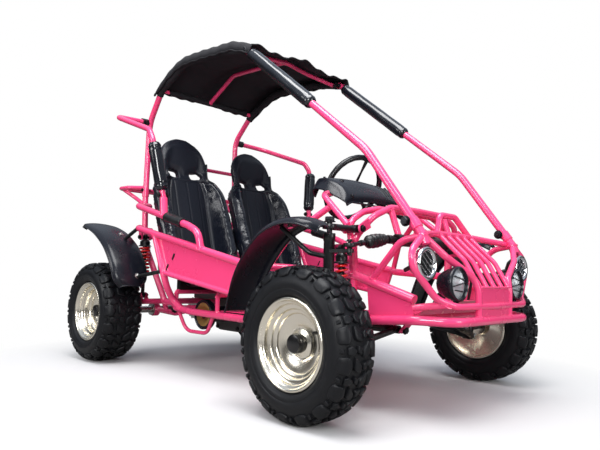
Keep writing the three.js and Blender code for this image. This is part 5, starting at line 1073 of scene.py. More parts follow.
def wrap_at(s):
    for (s0, w0), (s1, w1) in zip(wraps, wraps[1:]):
        if s <= s1:
            t = (s - s0) / (s1 - s0)
            return w0 + (w1 - w0) * (3 * t * t - 2 * t ** 3)
    return wraps[-1][1]


def seat_point(at, s, depth):
    y, z, half, wrap = eased(spine_rows, at)
    ahead, behind = eased(spine_rows, min(at + 0.05, len(spine_rows) - 1)), eased(spine_rows, max(at - 0.05, 0))
    along = Vector((0, ahead[0] - behind[0], ahead[1] - behind[1])).normalized()
    facing = Vector((0, -along.z, along.y))
    return place(s * half, y, z) + facing * (wrap_at(s) * wrap + depth)


def seat_body(skin):
    """Front and back faces meeting in rounded edges; skin is how far the surface is drawn in."""
    form, rings, rows, columns = Shape(), [], 84, 30
    last = len(spine_rows) - 1
    for i in range(rows + 1):
        at = last * i / rows
        row = []
        end = min(i, rows - i) / 3
        thin = 1 if end >= 1 else 0.35 + 0.65 * math.sqrt(1 - (1 - end) ** 2)
        for j in range(columns + 1):
            s = -math.cos(math.pi * j / columns) * 0.985
            row.append(seat_point(at, s, -skin - 0.004 * (abs(s) ** 6)))
        for j in range(columns + 1):
            s = math.cos(math.pi * j / columns) * 0.985
            rise = wrap_at(s) * eased(spine_rows, at)[3]
            deep = (min(0, rise - 0.034) - 0.004) - rise
            row.append(seat_point(at, s, max(deep, -0.05) * thin + skin + 0.004 * (abs(s) ** 6)))
        rings.append(row)
    form.loft(rings)
    return form


seat_vinyl, tree, out = new_material("seat_vinyl")
shader = node(tree, "BsdfPrincipled", in_Specular_IOR_Level=0.32, in_Coat_Roughness=0.2)
spot, worn = node(tree, "TexCoord"), node(tree, "Attribute", attribute_name="bolster")
grain = node(tree, "TexVoronoi", in_Scale=420.0)
creases = node(tree, "TexNoise", in_Scale=16.0, in_Detail=6.0, in_Distortion=2.2)
stretched = node(tree, "Mapping")
stretched.inputs["Scale"].default_value = (1.0, 2.4, 2.4)
rough, weight, coat = node(tree, "MapRange"), node(tree, "Math", operation="MULTIPLY"), node(tree, "MapRange")
set_pair(rough, 3, 0.46, 0.2)
set_pair(coat, 3, 0.0, 0.45)
first = node(tree, "Bump", in_Strength=0.16, in_Distance=0.0006)
second = node(tree, "Bump", in_Distance=0.006)
weight.inputs[1].default_value = 0.22
settled = use(tree, dust, Amount=0.006)
settled.inputs["Color"].default_value = (0.0062, 0.008, 0.0145, 1)
connect(tree, (spot, "Object", grain, "Vector"), (spot, "Object", stretched, 0), (stretched, 0, creases, "Vector"),
     (worn, "Fac", rough, 0), (worn, "Fac", coat, 0), (worn, "Fac", weight, 0), (grain, "Distance", first, "Height"),
     (creases, 0, second, "Height"), (weight, 0, second, "Strength"), (first, 0, second, "Normal"),
     (second, 0, shader, "Normal"), (rough, 0, shader, "Roughness"), (coat, 0, shader, "Coat Weight"),
     (settled, "Color", shader, "Base Color"), (shader, 0, out, 0))

seat = seat_body(0.004).bare("seat_cover_left")
cutters = []
for x in (-0.062, 0.058):
    cut = Shape()
    corners = [place(x, 0.44, 0.806) + X * (a if x < 0 else -a) + Z * b
               for a, b in ((-0.033, -0.01), (0.028, -0.019), (0.032, 0.011), (-0.022, 0.018))]
    outline = []
    for i, p in enumerate(corners):
        before, after = corners[i - 1], corners[(i + 1) % 4]
        for t in (0.0, 0.5, 1.0):
            u, v = p.lerp(before, 0.14), p.lerp(after, 0.14)
            outline.append(u.lerp(p, t).lerp(p.lerp(v, t), t))
    outline = outline if x > 0 else outline[::-1]
    cut.loft([[p + Y * d for p in outline] for d in (-0.12, 0.12)])
    cutters.append(cut.bare("slot"))


def cut_through(made, tools):
    for tool in tools:
        cut = made.modifiers.new("hole", "BOOLEAN")
        cut.object, cut.operation, cut.solver = tool, "DIFFERENCE", "EXACT"


def applied(made, tools=()):
    """The mesh with its modifiers worked in and taken off, and the cutting tools put away."""
    bpy.context.view_layer.update()
    fresh = bpy.data.meshes.new_from_object(made.evaluated_get(bpy.context.evaluated_depsgraph_get()))
    made.modifiers.clear()
    made.data = fresh
    for tool in tools:
        bpy.data.objects.remove(tool)


grid_size, most_swell = 0.006, 0.009
remesh = seat.modifiers.new("even", "REMESH")
remesh.mode, remesh.voxel_size = "VOXEL", grid_size
cut_through(seat, cutters)
remesh = seat.modifiers.new("evener", "REMESH")
remesh.mode, remesh.voxel_size = "VOXEL", grid_size
applied(seat, cutters)
rest = np.zeros(len(seat.data.vertices) * 3)
seat.data.vertices.foreach_get("co", rest)
cloth = seat.modifiers.new("foam", "CLOTH")
cloth.settings.use_pressure = True
cloth.settings.uniform_pressure_force = 4.0
cloth.settings.mass = 0.35
cloth.settings.tension_stiffness = cloth.settings.compression_stiffness = 40
cloth.settings.bending_stiffness = 6
cloth.settings.effector_weights.gravity = 0
cloth.collision_settings.use_collision = False
for frame_number in range(1, 21):
    bpy.context.scene.frame_set(frame_number)
applied(seat)
bpy.context.scene.frame_set(1)
swollen = np.zeros(len(rest))
seat.data.vertices.foreach_get("co", swollen)
move = (swollen - rest).reshape(-1, 3)
far = np.maximum(np.linalg.norm(move, axis=1), 1e-9)
move *= (np.minimum(far, most_swell) / far)[:, None]
seat.data.vertices.foreach_set("co", rest + move.ravel())
finer = seat.modifiers.new("finer", "SUBSURF")
finer.levels = 1
applied(seat)
smooth = seat.modifiers.new("relaxed", "SMOOTH")
smooth.factor, smooth.iterations = 0.5, 5
applied(seat)

# Sewn lines and creases are pressed into the finished cover: two long seams beside the centre
# panel, one across at the fold and one under the head rest; the bolsters are puckered.
seat.data.update()
count = len(seat.data.vertices)
spots, normals = np.zeros(count * 3), np.zeros(count * 3)
seat.data.vertices.foreach_get("co", spots)
seat.data.vertices.foreach_get("normal", normals)
spots, normals = spots.reshape(-1, 3), normals.reshape(-1, 3)
fine_rows = np.array([eased(spine_rows, k / 6) for k in range((len(spine_rows) - 1) * 6 + 1)])
x, y, z = spots[:, 0], spots[:, 1] - MIDDLE, spots[:, 2]
nearest = np.zeros(count, int)
for start in range(0, count, 20000):
    part = slice(start, start + 20000)
    apart = (y[part, None] - fine_rows[:, 0]) ** 2 + (z[part, None] - fine_rows[:, 1]) ** 2
    nearest[part] = apart.argmin(axis=1)
half = fine_rows[nearest, 2]
s = x / half
head_seam, fold_y, fold_z = 0.775, 0.295, 0.383
head = z > head_seam
front_face = (normals[:, 2] * 0.6 - normals[:, 1] > 0) & ~head


def pressed(distance, depth, reach):
    return depth * np.exp(-(distance / reach) ** 2)


push = pressed((np.abs(s) - 0.5) * half, -0.0045, 0.0032) + pressed((np.abs(s) - 0.5) * half, 0.002, 0.014)
push += pressed(z - head_seam, -0.004, 0.0035) + pressed(np.hypot(y - fold_y, z - fold_z), -0.004, 0.012)
channels = pressed((x + 0.03) % 0.06 - 0.03, -0.0022, 0.0028)
push += np.where((np.abs(s) < 0.5) & (z < 0.77), channels, 0)
push *= front_face
side = np.clip((np.abs(s) - 0.5) / 0.12, 0, 1) * ~head
pucker = np.array([noise.noise(Vector((px * 9, py * 30 + pz * 6, pz * 34))) for px, py, pz in zip(x, y, z)])
push += side * pucker * 0.0018
spots += normals * push[:, None]
seat.data.vertices.foreach_set("co", spots.ravel())
bolster = seat.data.attributes.new("bolster", "FLOAT", "POINT")
bolster.data.foreach_set("value", side.astype(np.float32))
seat.data.materials.clear()
seat.data.materials.append(seat_vinyl)
seat.data.shade_smooth()
seat_x = 0.194
seat.location.x = seat_x
copy = put_in_scene("seat_cover_right", seat.data.copy())
copy.location.x = -seat_x
piping_vinyl = shaded("seat_piping", "seat_vinyl", (0.009, 0.01, 0.015), (0.2, 0.34), 0.03, 300.0, 0.4, 0.05,
                      Coat_Weight=0.4)
for made, name, side in ((seat, "left", LEFT), (copy, "right", RIGHT)):
    bpy.context.view_layer.update()
    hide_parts("seat_" + name)
    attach(made, "chassis")
    piping = Shape()
    border = [seat_point((len(spine_rows) - 5) * k / 120, 0.97, -0.006) for k in range(2, 121)]
    for line in (border, [Vector((-p.x, p.y, p.z)) for p in border]):
        points = [p + X * seat_x * side for p in line]
        stations = [(p, (points[min(i + 1, len(points) - 1)] - points[max(i - 1, 0)]).normalized())
                    for i, p in enumerate(points)]
        piping.sweep(stations, [0.0042] * len(stations), 10)
    piping.piece("seat_piping_" + name, piping_vinyl)
    feet = Shape()
    for y in (0.24, -0.03):
        feet.block(place(seat_x * side, y, 0.331), (0.26, 0.024, 0.05))
        for x in (0.085, -0.085):
            feet.turned([(0.007, 0), (0.007, 0.003), (0.0005, 0.0035)],
                        place(seat_x * side + x, y, 0.33) - Y * 0.012, -Y, 6)
    feet.piece("seat_feet_" + name, satin_black, bevel=0.003)

# Roof: one piece of black cloth stretched over the hoop's arch and hemmed all round, held by
# sleeves of the same cloth round the side tubes and the rear bar; its front edge is wavy.
canvas, tree, out = new_material("roof_canvas")
shader = node(tree, "BsdfPrincipled", in_Specular_IOR_Level=0.25)
spot = node(tree, "TexCoord")
threads = [node(tree, "TexWave", in_Scale=330.0, in_Distortion=0.4, bands_direction=way) for way in ("X", "Y")]
woven = node(tree, "Math", operation="MULTIPLY")
shade_mix = node(tree, "Mix", data_type="RGBA")
set_pair(shade_mix, 6, (0.009, 0.009, 0.011, 1), (0.022, 0.022, 0.026, 1))
gloss = use(tree, handling, Low=0.66, High=0.86, Scale=9.0)
relief = node(tree, "Bump", in_Strength=0.3, in_Distance=0.0008)
settled = use(tree, dust, Amount=0.05)
for texture, socket in zip(threads, woven.inputs):
    connect(tree, (spot, "Object", texture, "Vector"))
    tree.links.new(texture.outputs["Fac"], socket)
connect(tree, (woven, 0, relief, "Height"), (gloss, "Mask", shade_mix, 0), (shade_mix, 2, settled, "Color"),
     (settled, "Color", shader, "Base Color"), (gloss, "Roughness", shader, "Roughness"),
     (relief, 0, shader, "Normal"), (shader, 0, out, 0))

roof_rows = [(0.578, 1.2), (0.552, 1.226), (0.47, 1.272), (0.37, 1.302), (0.25, 1.299), (0.12, 1.287), (0.02, 1.277),
             (-0.055, 1.252), (-0.098, 1.238)]
roof_drops = [(-1, 0.045), (-0.94, 0.006), (-0.6, 0.012), (-0.3, 0.008), (0, -0.01), (0.3, 0.008), (0.6, 0.012),
              (0.94, 0.006), (1, 0.045)]


def roof_point(at, s):
    y, z = eased(roof_rows, at)
    j = (s + 1) / 2 * 8
    k = 0
    while k < 7 and s > roof_drops[k + 1][0]:
        k += 1
    (s0, _), (s1, _) = roof_drops[k], roof_drops[k + 1]
    drop = eased([(d,) for _, d in roof_drops], k + (s - s0) / (s1 - s0))[0]
    back, front = max(0, 1 - at / 1.2), max(0, (at - 6.6) / 1.4)
    drop *= 1 - 0.45 * back
    wave = 0.006 * math.sin(s * math.pi * 7.0) * front + 0.003 * math.sin(s * math.pi * 9) * back
    sag = noise.noise(Vector((s * 2.6, y * 8, 3.1))) * 0.004 * (1 - abs(s) ** 4)
    pull = 0.0022 * math.sin(y * 95) * max(0, (abs(s) - 0.7) / 0.3)
    return place(max(-0.2828, min(0.2828, s * 0.2905)), y + wave * 0.5, z - drop - 0.0048 + wave + sag + pull)


cloth_form, rows, columns = Shape(), 90, 70
grid = [[roof_point((len(roof_rows) - 1) * i / rows, -1 + 2 * j / columns) for j in range(columns + 1)]
        for i in range(rows + 1)]
cloth_form.points = [p for row in grid for p in row]
wide = columns + 1
firsts = [i * wide + j for i in range(rows) for j in range(columns)]
cloth_form.faces = [(a, a + 1, a + wide + 1, a + wide) for a in firsts]
roof = cloth_form.piece("roof_cloth", canvas, "canopy", crease=80)
thick = roof.modifiers.new("thickness", "SOLIDIFY")
thick.thickness, thick.offset = 0.0018, 0.0
around = (grid[0] + [row[-1] for row in grid[1:]] + grid[-1][-2::-1] + [row[0] for row in grid[-2:0:-1]])
hem = Shape()
rings = []
for i, p in enumerate(around):
    way = (around[(i + 1) % len(around)] - around[i - 1]).normalized()
    across_way = way.cross(Z).normalized()
    over = across_way.cross(way)
    rings.append([p + step for step in circle(across_way * 0.0042, over * 0.0028, 10)])
hem.loft(rings, caps=False, round_trip=True)
hem_piece = hem.piece("roof_hem", canvas, crease=80)
sleeves = Shape()


def sleeve(path, tube, across, seed):
    """A tube of the same cloth sewn round a frame tube, a little creased."""
    rings = []
    for (a, way), (b, after) in zip(path, path[1:]):
        steps = max(1, round((b - a).length / 0.012))
        for k in range(steps + (b is path[-1][0])):
            spot, run = a.lerp(b, k / steps), way.lerp(after, k / steps).normalized()
            first = (across - run * across.dot(run)).normalized()
            second = run.cross(first)
            ring = []
            for angle in once_round(20):
                crease = noise.noise(Vector((math.cos(angle) * 1.6, math.sin(angle) * 1.6, len(rings) * 0.55 + seed)))
                ring.append(spot + (first * math.cos(angle) + second * math.sin(angle)) * (tube + 0.0022
                                                                                           + 0.0011 * crease))
            rings.append(ring)
    sleeves.loft(rings)


for _, side in SIDES:
    sleeve([(p, way) for p, way in bent(route(hoop_side, side), hoop_bend) if p.z > 1.17], main_tube, X, 3.0 * side)
sleeve([(place(x, 0.549, 1.192), X) for x in (-0.226, 0.226)], light_tube, Z, 7.0)
sleeves_piece = sleeves.piece("roof_sleeves", canvas, crease=80)
length = sum((grid[i + 1][columns // 2] - grid[i][columns // 2]).length for i in range(rows))

# Fenders: four crowned shells moulded in black plastic, 3 mm thick, with a rolled lip all
# round. The rear pair is bolted to two stays on the frame; the front pair is bolted to a
# bent stay on each knuckle and turns with its wheel.
moulded = shaded("moulded_gloss_black", "moulded_black", (0.005, 0.0058, 0.0105), (0.2, 0.32), 0.01, 26.0, 0.2, 0.1,
                 (0.007, 0.0078, 0.0125), 9.0, Specular_IOR_Level=0.36)
rear_guard = [(0.785, 0.566, 0.018), (0.75, 0.574, 0.05), (0.66, 0.566, 0.07), (0.56, 0.535, 0.076),
              (0.47, 0.483, 0.077), (0.405, 0.415, 0.076), (0.375, 0.35, 0.07), (0.37, 0.315, 0.045)]
front_guard = [(-0.318, 0.268, 0.055), (-0.36, 0.37, 0.062), (-0.405, 0.435, 0.064), (-0.47, 0.495, 0.064),
               (-0.54, 0.525, 0.063), (-0.6, 0.53, 0.058), (-0.645, 0.52, 0.045), (-0.668, 0.505, 0.02)]
guard_wall, guard_crown = 0.003, 0.014


def guard_lift(s):
    if abs(s) <= 0.8:
        return 0.4 * (1 - (s / 0.8) ** 2)
    return -(((abs(s) - 0.8) / 0.2) ** 1.5)


def shell(point, last, shares, wall, depth):
    """A thin moulding over rows and shares of its width, and the path of the lip round its edge."""
    form, ats = Shape(), [i / 8 for i in range(last * 8 + 1)]
    form.loft([[point(at, s) for s in shares] + [point(at, s, wall) for s in shares[::-1]] for at in ats])
    rim = [point(at, -1, depth) for at in ats] + [point(last, s, depth) for s in shares[1:-1]]
    rim += [point(at, 1, depth) for at in ats[::-1]] + [point(0, s, depth) for s in shares[-2:0:-1]]
    return form, rim + [rim[0]]


def guard_at(rows, middle_x, axle_y, side):
    def away(at):
        y, z, _ = eased(rows, at)
        return Vector((0, y - axle_y, z - axle_z)).normalized()

    def point(at, s, sink=0.0):
        y, z, half = eased(rows, at)
        half *= 1 - 0.06 * max(0, abs(s) - 0.9) * (at < 0.4 or at > len(rows) - 1.4)
        return place(middle_x + s * half, y, z, side) + away(at) * (guard_lift(s) * guard_crown - sink)

    return point, away


def guard(name, body, node_name, rows, point):
    form, rim = shell(point, len(rows) - 1, [-1 + 2 * k / 28 for k in range(29)], guard_wall, guard_wall / 2)
    form.tube(rim, 0.0026, 0.004, 8)
    form.piece(name, moulded, node_name, body=body, crease=50)


def guard_bolts(name, body, point, away, spots):
    """Washered bolt heads on the outer face, square to it, each with its nut inside."""
    screws = Shape()
    for at, s in spots:
        here = point(at, s)
        out_way = (point(at + 0.1, s) - here).cross(point(at, s + 0.1) - here).normalized()
        out_way = -out_way if out_way.dot(away(at)) < 0 else out_way
        screws.turned([(0.011, -0.0005), (0.011, 0.001), (0.0095, 0.0016)], here, out_way, 22)
        screws.turned([(0.0068, 0.0016), (0.0068, 0.0052), (0.0055, 0.0062)], here, out_way, 6)
        screws.turned([(0.0075, -0.0095), (0.0075, -0.003)], here, out_way, 6)
    screws.piece(name, plated, body=body)


for name, side in SIDES:
    point, away = guard_at(rear_guard, 0.453, rear_axle_y, side)
    guard("rear_guard_" + name, "chassis", "rear_fender_" + name, rear_guard, point)
    stays = Shape()
    for start, end in (((0.408, 0.44, 0.545), (0.43, 0.5, 0.502)), ((0.409, 0.235, 0.375), (0.43, 0.38, 0.352))):
        stays.bar(place(*start, side), place(*end, side), 0.0075)
    stays.piece("rear_guard_stays_" + name, satin_black)
    guard_bolts("rear_guard_bolts_" + name, "chassis", point, away, ((3.3, -0.3), (5.95, -0.32)))
    point, away = guard_at(front_guard, 0.47, front_axle_y, side)
    guard("front_guard_" + name, "knuckle_" + name, "front_fender_" + name, front_guard, point)
    guard_bolts("front_guard_bolts_" + name, "knuckle_" + name, point, away, ((3.6, -0.45), (4.4, -0.45)))

# Dash cowl: a wide moulded hood in the same black plastic over the dash tube, with a turned
# down edge and five slanting louvres cut through it, held by a bolt through each post.
cowl_rows = [(0.155, -0.33, 0.7), (0.18, -0.345, 0.722), (0.19, -0.4, 0.715),
             (0.186, -0.45, 0.69), (0.18, -0.485, 0.655), (0.172, -0.49, 0.632)]


def cowl_drop(at, s):
    if abs(s) <= 0.85:
        return 0.012 * (s / 0.85) ** 2
    return 0.012 + (0.038 - 0.026 * min(1, max(0, at - 3) / 1.6)) * ((abs(s) - 0.85) / 0.15) ** 1.4


def cowl_point(at, s, sink=0.0):
    half, y, z = eased(cowl_rows, at)
    shrink = half - sink if abs(s) > 0.85 else half
    return place(s * shrink, y, z - cowl_drop(at, s) - sink)


shares = [-1 + 0.15 * k / 6 for k in range(6)] + [-0.85 + 1.7 * k / 20 for k in range(21)]
shares += [0.85 + 0.15 * k / 6 for k in range(1, 7)]
cowl, rim = shell(cowl_point, len(cowl_rows) - 1, shares, 0.004, 0.002)
cutters = []
for i in range(5):
    cut = Shape()
    slot = place(0.06 + 0.017 * i, -0.43, 0.7)
    outline = [(0.003 * math.cos(a), (0.022 if math.sin(a) > 0 else -0.05) + 0.003 * math.sin(a))
               for a in once_round(24)]
    cut.loft([[slot + Vector((u + (v * 0.12), v, h)) for u, v in outline] for h in (-0.04, 0.04)])
    cutters.append(cut.bare("louvre"))
hood = cowl.piece("cowl_hood", moulded, "dash_cowl", crease=40)
cut_through(hood, cutters)
applied(hood, cutters)
edging, screws = Shape(), Shape()
edging.tube(rim, 0.003, 0.006, 10)
for i in range(6):
    ridge = []
    for at in (2.25, 2.75, 3.25, 3.6, 3.9, 4.2):
        x = 0.0515 + 0.017 * i + 0.12 * (cowl_point(at, 0).y + 0.43 - MIDDLE)
        ridge.append(cowl_point(at, x / eased(cowl_rows, at)[0], 0.0005))
    edging.tube(ridge, 0.0022, 0.01, 8)
for _, side in SIDES:
    edging.bar(place(0.12, -0.42, 0.7, side), place(0.12, -0.42, 0.667, side), 0.0095)
    for at, s in ((2.4, 0.63), (1.15, 0.72), (4.2, 0.8)):
        here = cowl_point(at, s * side)
        out_way = (cowl_point(at + 0.1, s * side) - here).cross(cowl_point(at, s * side + 0.05) - here).normalized()
        out_way = out_way if out_way.z > 0 else -out_way
        screws.turned([(0.0085, -0.0005), (0.0085, 0.0008), (0.0075, 0.0013)], here, out_way, 20)
        screws.turned([(0.005, 0.0013), (0.005, 0.0045), (0.004, 0.0053)], here, out_way, 6)
edging.piece("cowl_edging", moulded, crease=60)
screws.piece("cowl_screws", dark_steel)


# Head lamps: four round lamps inside the nose loops. The upper pair has a bright plated rim
# and a slatted black guard; the lower pair is a deep black bowl with a clear ribbed lens.
chrome = shaded("lamp_plating", "lamp_chrome", (0.78, 0.78, 0.8), (0.04, 0.12), 0.02, 60.0, 0.2, 0.02, Metallic=1.0)
glass, tree, out = new_material("lamp_glass")
shader = node(tree, "BsdfPrincipled", in_Base_Color=(0.62, 0.65, 0.68, 1), in_Metallic=0.55,
              in_Coat_Weight=1.0, in_Coat_Roughness=0.03)
spot = node(tree, "TexCoord")
ribs, fine = node(tree, "TexWave", in_Scale=55.0, in_Distortion=0.0), node(tree, "TexVoronoi", in_Scale=130.0)
spread, relief = node(tree, "MapRange"), node(tree, "Bump", in_Strength=0.6, in_Distance=0.003)
set_pair(spread, 3, 0.05, 0.3)
connect(tree, (spot, "Object", ribs, "Vector"), (spot, "Object", fine, "Vector"), (fine, "Distance", spread, 0),
     (spread, 0, shader, "Roughness"), (ribs, "Fac", relief, "Height"), (relief, 0, shader, "Normal"),
     (shader, 0, out, 0))
lamp_aim = Vector((0, -1, 0.02)).normalized()
lamp_rows = (("upper_lamp_", (0.28, -0.857, 0.417), 0.044, 0.042, (0.262, -0.78, 0.4)),
             ("lower_lamp_", (0.175, -0.888, 0.366), 0.047, 0.055, (0.175, -0.888, 0.31)))
for name, side in SIDES:
    for lamp, spot, radius, depth, foot in lamp_rows:
        centre, upper = place(*spot, side), lamp.startswith("upper")
        bowl = Shape()
        skin = [(1.0, 0.02), (0.985, -0.08), (0.93, -0.22), (0.86, -0.45), (0.74, -0.7), (0.6, -0.88), (0.4, -0.97),
                (0.0, -1.0)]
        lens_at = -0.1 if upper else -0.06
        lining = [(0.0, lens_at - 0.14), (0.5, lens_at - 0.12), (0.84, lens_at - 0.02), (0.88, 0.06)]
        bowl.turned([(r * radius, d * depth) for r, d in [(0.88, 0.06), (0.98, 0.07), *skin]], centre, lamp_aim, 40,
                    caps=False)
        bowl.turned([(r * radius, d * depth) for r, d in lining], centre, lamp_aim, 40, caps=False)
        back = centre - lamp_aim * depth * 0.7
        bowl.bar(back, place(*foot, side), 0.006)
        bowl.turned([(0.013, 0), (0.013, 0.004), (0.011, 0.006)], back - lamp_aim * depth * 0.28, -lamp_aim, 6)
        finish = satin_black if upper else moulded
        bowl.piece(lamp + "bowl_" + name, finish, lamp + name, slot="moulded_black", crease=40)
        rim, inner = Shape(), 0.72 if upper else 0.84
        rim.turned([(inner * radius, 0.001), ((inner + 0.03) * radius, 0.0055), (0.9 * radius, 0.0085),
                    (1.0 * radius, 0.006), (1.015 * radius, 0.0), (1.0 * radius, -0.006), (inner * radius, -0.004)],
                   centre, lamp_aim, 48, round_trip=True)
        rim.piece(lamp + "rim_" + name, chrome if upper else moulded, crease=60)
        face, ribs = Shape(), Shape()
        if upper:
            cover = [(0.74 * radius, -0.003), (0.4 * radius, -0.002), (0.0, -0.0015)]
            face.turned(cover, centre, lamp_aim, 40, caps=False)
            face.piece("lamp_guard_" + name, satin_black, crease=60)
            slant = Quaternion(lamp_aim, 0.7 * side)
            for k in (-1.5, -0.5, 0.5, 1.5):
                offset = k * 0.0125
                half = math.sqrt((0.72 * radius) ** 2 - offset ** 2)
                ribs.block(centre + slant @ (Z * offset) - lamp_aim * 0.0005, (half * 2, 0.0035, 0.0016), slant)
            ribs.piece("lamp_slats_" + name, chrome, bevel=0.0005)
        else:
            dome = [(0.85, -0.002), (0.7, 0.001), (0.45, 0.0035), (0.2, 0.0045), (0.0, 0.005)]
            face.turned([(r * radius, d) for r, d in dome], centre, lamp_aim, 40, caps=False)
            face.piece("lamp_lens_" + name, glass, crease=60)
            for offset, half, lean in ((-0.001, 0.037, 0.16), (0.0165, 0.03, -0.2), (-0.0185, 0.026, -0.12)):
                tip = centre + Z * offset + lamp_aim * 0.0045
                ribs.block(tip, (half * 1.7, 0.003, 0.0032), Quaternion(lamp_aim, lean))
            ribs.piece("lamp_bars_" + name, satin_black, bevel=0.0008)


# Engine: a small air cooled single below and behind the seats: crankcase on the floor tubes,
# bridge and riser to the finned cylinder, tank above, silencer behind, and the drive cover
# with its bare disc on the right side. The castings are bolted together and to the frame.
castings = shaded("engine_castings", "engine_metal", (0.045, 0.045, 0.05), (0.35, 0.6), 0.1, 420.0, 0.6, 0.35,
                  (0.07, 0.068, 0.066), Metallic=0.5)
tank_plastic = shaded("tank_plastic", "moulded_black", (0.01, 0.01, 0.012), (0.2, 0.36), 0.1, 60.0, 0.4, 0.1)
silencer_steel = shaded("silencer_steel", "engine_metal", (0.1, 0.095, 0.09), (0.28, 0.5), 0.12, 90.0, 0.5, 0.1,
                        (0.16, 0.12, 0.09), Metallic=0.8)
bare_gold = shaded("gold_disc", "engine_metal", (0.55, 0.33, 0.11), (0.3, 0.42), 0.05, 60.0, 0.5, 0.05,
                   (0.46, 0.26, 0.08), Metallic=0.85)


def casting(form, centre, size, corner, fillet, axis=2):
    """A block with rounded corners about one axis and rounded ends along it."""
    others = [k for k in (0, 1, 2) if k != axis]
    half = size[axis] / 2
    rings = []
    for k in range(12):
        low = k < 6
        a = math.pi / 2 * ((k if low else 11 - k) / 5)
        inset, height = fillet * (1 - math.sin(a)), -half + fillet * (1 - math.cos(a))
        height = height if low else -height
        ring = []
        for su, sv, start in ((1, 1, 0), (-1, 1, 1), (-1, -1, 2), (1, -1, 3)):
            for m in range(6):
                b = math.pi / 2 * (start + m / 5)
                room = max(corner - inset, 0.0005)
                point = Vector((0, 0, 0))
                point[others[0]] = su * (size[others[0]] / 2 - inset - room) + room * math.cos(b)
                point[others[1]] = sv * (size[others[1]] / 2 - inset - room) + room * math.sin(b)
                point[axis] = height
                ring.append(centre + point)
        rings.append(ring)
    form.loft(rings)


block, fittings = Shape(), Shape()
crankcase, bridge, riser = (-0.06, 0.10385, 0.215), (-0.05, 0.32, 0.2713), (-0.05, 0.455, 0.365)
cylinder, cylinder_top, fin_count, fin_step = (0, 0.505, 0.4), (0, 0.5, 0.47), 5, 0.023
casting(block, place(*crankcase), (0.24, 0.1677, 0.13), 0.03, 0.012, 0)
casting(block, place(*bridge), (0.1, 0.3, 0.022), 0.012, 0.005)
casting(block, place(*riser), (0.1, 0.03, 0.2), 0.012, 0.006)
casting(block, place(*cylinder), (0.15, 0.12, 0.12), 0.03, 0.01)
casting(block, place(*cylinder_top), (0.1, 0.08, 0.03), 0.014, 0.004)
for k in range(fin_count):
    casting(block, place(0, 0.512, 0.352 + fin_step * k), (0.19, 0.15, 0.009), 0.02, 0.0035)
for dx in (-0.18, -0.12, -0.06, 0.0, 0.06):
    block.turned([(0.012, -0.004), (0.012, 0.004)], place(dx, 0.03, 0.215), -Y, 20)
for dy, dz in ((0.04, 0.165), (0.04, 0.265), (0.167, 0.165), (0.167, 0.265)):
    fittings.bolt(place(-0.18, dy, dz), -X, 0.004, 0.0, True)
fittings.bolt(place(0.03, 0.4375, 0.4), -Y, 0.006, 0.0075, True)
block.piece("engine_block", castings, "engine", crease=35)
tank, lid = Shape(), Shape()
casting(tank, place(0, 0.52, 0.53), (0.3, 0.15, 0.11), 0.04, 0.022)
tank.loft([[place(u, v, h) for u, v in ((-0.152, 0.446), (0.152, 0.446), (0.152, 0.594), (-0.152, 0.594))]
           for h in (0.527, 0.533)])
lid.turned([(0.028, 0.0), (0.03, 0.003), (0.03, 0.014), (0.026, 0.017), (0.0, 0.0175)], place(0.08, 0.52, 0.5825), Z,
           32, caps=False)
tank.piece("fuel_tank", tank_plastic, crease=40)
lid.piece("fuel_cap", tank_plastic, crease=50)
silencer = Shape()
drum = [(0.0, -0.16), (0.02, -0.1595), (0.038, -0.156), (0.045, -0.15), (0.045, -0.13), (0.0465, -0.128),
        (0.0465, -0.12), (0.045, -0.118)]
silencer.turned(both_ends(drum), place(0, 0.655, 0.4), X, 40, caps=False)
silencer.bar(place(0.06, 0.54, 0.4), place(0.06, 0.64, 0.4), 0.012)
silencer.turned([(0.02, 0), (0.02, 0.006)], place(0.06, 0.58, 0.4), Y, 24)
silencer.piece("silencer", silencer_steel, crease=40)
drive = Shape()
disc = place(-0.285, 0.107, 0.218)
drive.bar(disc, place(-0.17, 0.107, 0.218), 0.03, 32)
drive.turned([(0.0, -0.006), (0.03, -0.006), (0.035, -0.007), (0.05, -0.011), (0.054, -0.013), (0.056, -0.011),
              (0.056, 0.011), (0.05, 0.013), (0.0, 0.013)], disc, X, 48, caps=False)
drive.piece("drive_cover", moulded, crease=40)
ring_disc = Shape()
ring_disc.turned([(0.016, -0.0065), (0.02, -0.0085), (0.043, -0.0098), (0.047, -0.0085), (0.0475, -0.006),
                  (0.016, -0.006)], disc, X, 48, round_trip=True)
ring_disc.piece("drive_cover_disc", bare_gold, crease=30)
fittings.turned([(0.007, -0.0065), (0.007, -0.011), (0.0055, -0.012)], disc, X, 6)
fittings.piece("engine_bolts", dark_steel)


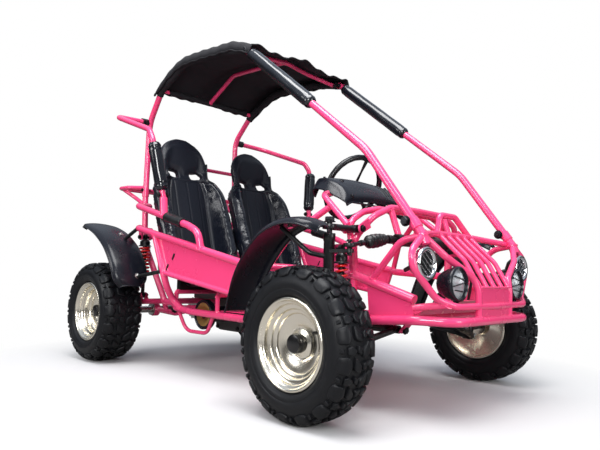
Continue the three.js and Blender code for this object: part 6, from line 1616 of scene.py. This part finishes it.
# Steering: a foam gripped wheel on a dished three spoke hub and a column that turns in the
# tower's ring, a pinion housing clamped to the front arch, and the rack bar sliding in it.
grip_foam = shaded("grip_foam", "moulded_black", (0.005, 0.0055, 0.007), (0.2, 0.34), 0.0, 400.0, 0.5, 0.1)
rim_centre, rim_radius = place(*wheel_middle), 0.132
toward = -column_way
tilt = Z.rotation_difference(toward)
grip, spokes = Shape(), Shape()
stations = []
for k in range(97):
    a = 2 * math.pi * k / 96
    spot = Vector((math.cos(a), math.sin(a), 0)) * rim_radius
    stations.append((rim_centre + tilt @ spot, tilt @ Vector((-math.sin(a), math.cos(a), 0))))
radii = [0.0118 - 0.0007 * (0.5 + 0.5 * math.cos(24 * 2 * math.pi * k / 96)) for k in range(97)]
grip.sweep(stations, radii, 18, caps=False)
for a in (0, 2.1, 4.18):
    way = tilt @ Vector((math.sin(a), -math.cos(a), 0))
    over = toward.cross(way).normalized()
    start, end = rim_centre + way * 0.02, rim_centre + way * (rim_radius - 0.002)
    rings = []
    for t in (0, 0.15, 0.5, 0.85, 1):
        wide, thick = 0.009 - 0.0045 * math.sin(math.pi * min(1, t + 0.12)) ** 2, 0.0035
        rings.append([start.lerp(end, t) + step for step in circle(over * wide, toward * thick, 16)])
    spokes.loft(rings)
    grip.turned([(0.0132, -0.012), (0.0136, 0.0), (0.0132, 0.012)], end + way * 0.002, over, 18)
spokes.turned([(0.0, -0.011), (0.03, -0.011), (0.032, -0.009), (0.032, 0.004), (0.028, 0.008), (0.02, 0.0105),
               (0.0, 0.011)], rim_centre, toward, 40, caps=False)
pinion = rim_centre + column_way * ((rack_y + MIDDLE - rim_centre.y) / column_way.y)
spokes.bar(rim_centre, pinion + toward * 0.0224, 0.009, 24)
spokes.turned([(0.0125, -0.012), (0.0125, 0.012)], rim_centre + column_way * 0.1, toward, 20)
grip.piece("steering_grip", grip_foam, "steering_wheel", body="steering_wheel", crease=60)
spokes.piece("steering_spokes", satin_black, body="steering_wheel", crease=40)
nuts = Shape()
nuts.turned([(0.0115, 0.0105), (0.0115, 0.0175), (0.009, 0.0195)], rim_centre, toward, 6)
for k in range(3):
    a = 1.05 + 2.094 * k
    spot = rim_centre + tilt @ Vector((math.cos(a), math.sin(a), 0)) * 0.022
    nuts.turned([(0.0045, 0.009), (0.0045, 0.0125), (0.0035, 0.0132)], spot, toward, 6)
nuts.piece("steering_nuts", plated, body="steering_wheel")

housing, bar_steel = Shape(), Shape()
rack_line = place(0, rack_y, rack_z)
housing.turned(both_ends([(0.0082, -0.168), (0.017, -0.168), (0.019, -0.164), (0.019, -0.14), (0.0172, -0.137)]),
               rack_line, X, 36, round_trip=True)
housing.turned([(0.0, -0.022), (0.022, -0.022), (0.024, -0.019), (0.024, 0.012), (0.018, 0.016), (0.0155, 0.022),
                (0.0, 0.022)], pinion, toward, 36, caps=False)
housing.piece("pinion_housing", satin_black, "rack_housing", crease=40)
half_bar = 0.2076
bar_steel.turned(both_ends([(0.0, -half_bar), (0.011, -half_bar), (0.013, -half_bar + 0.002), (0.013, -0.19),
                            (0.0078, -0.19)]), rack_line, X, 30, caps=False)
bar_steel.piece("rack_bar", dark_steel, "steering_rack", body="steering_rack", slot="bare_steel", crease=40)
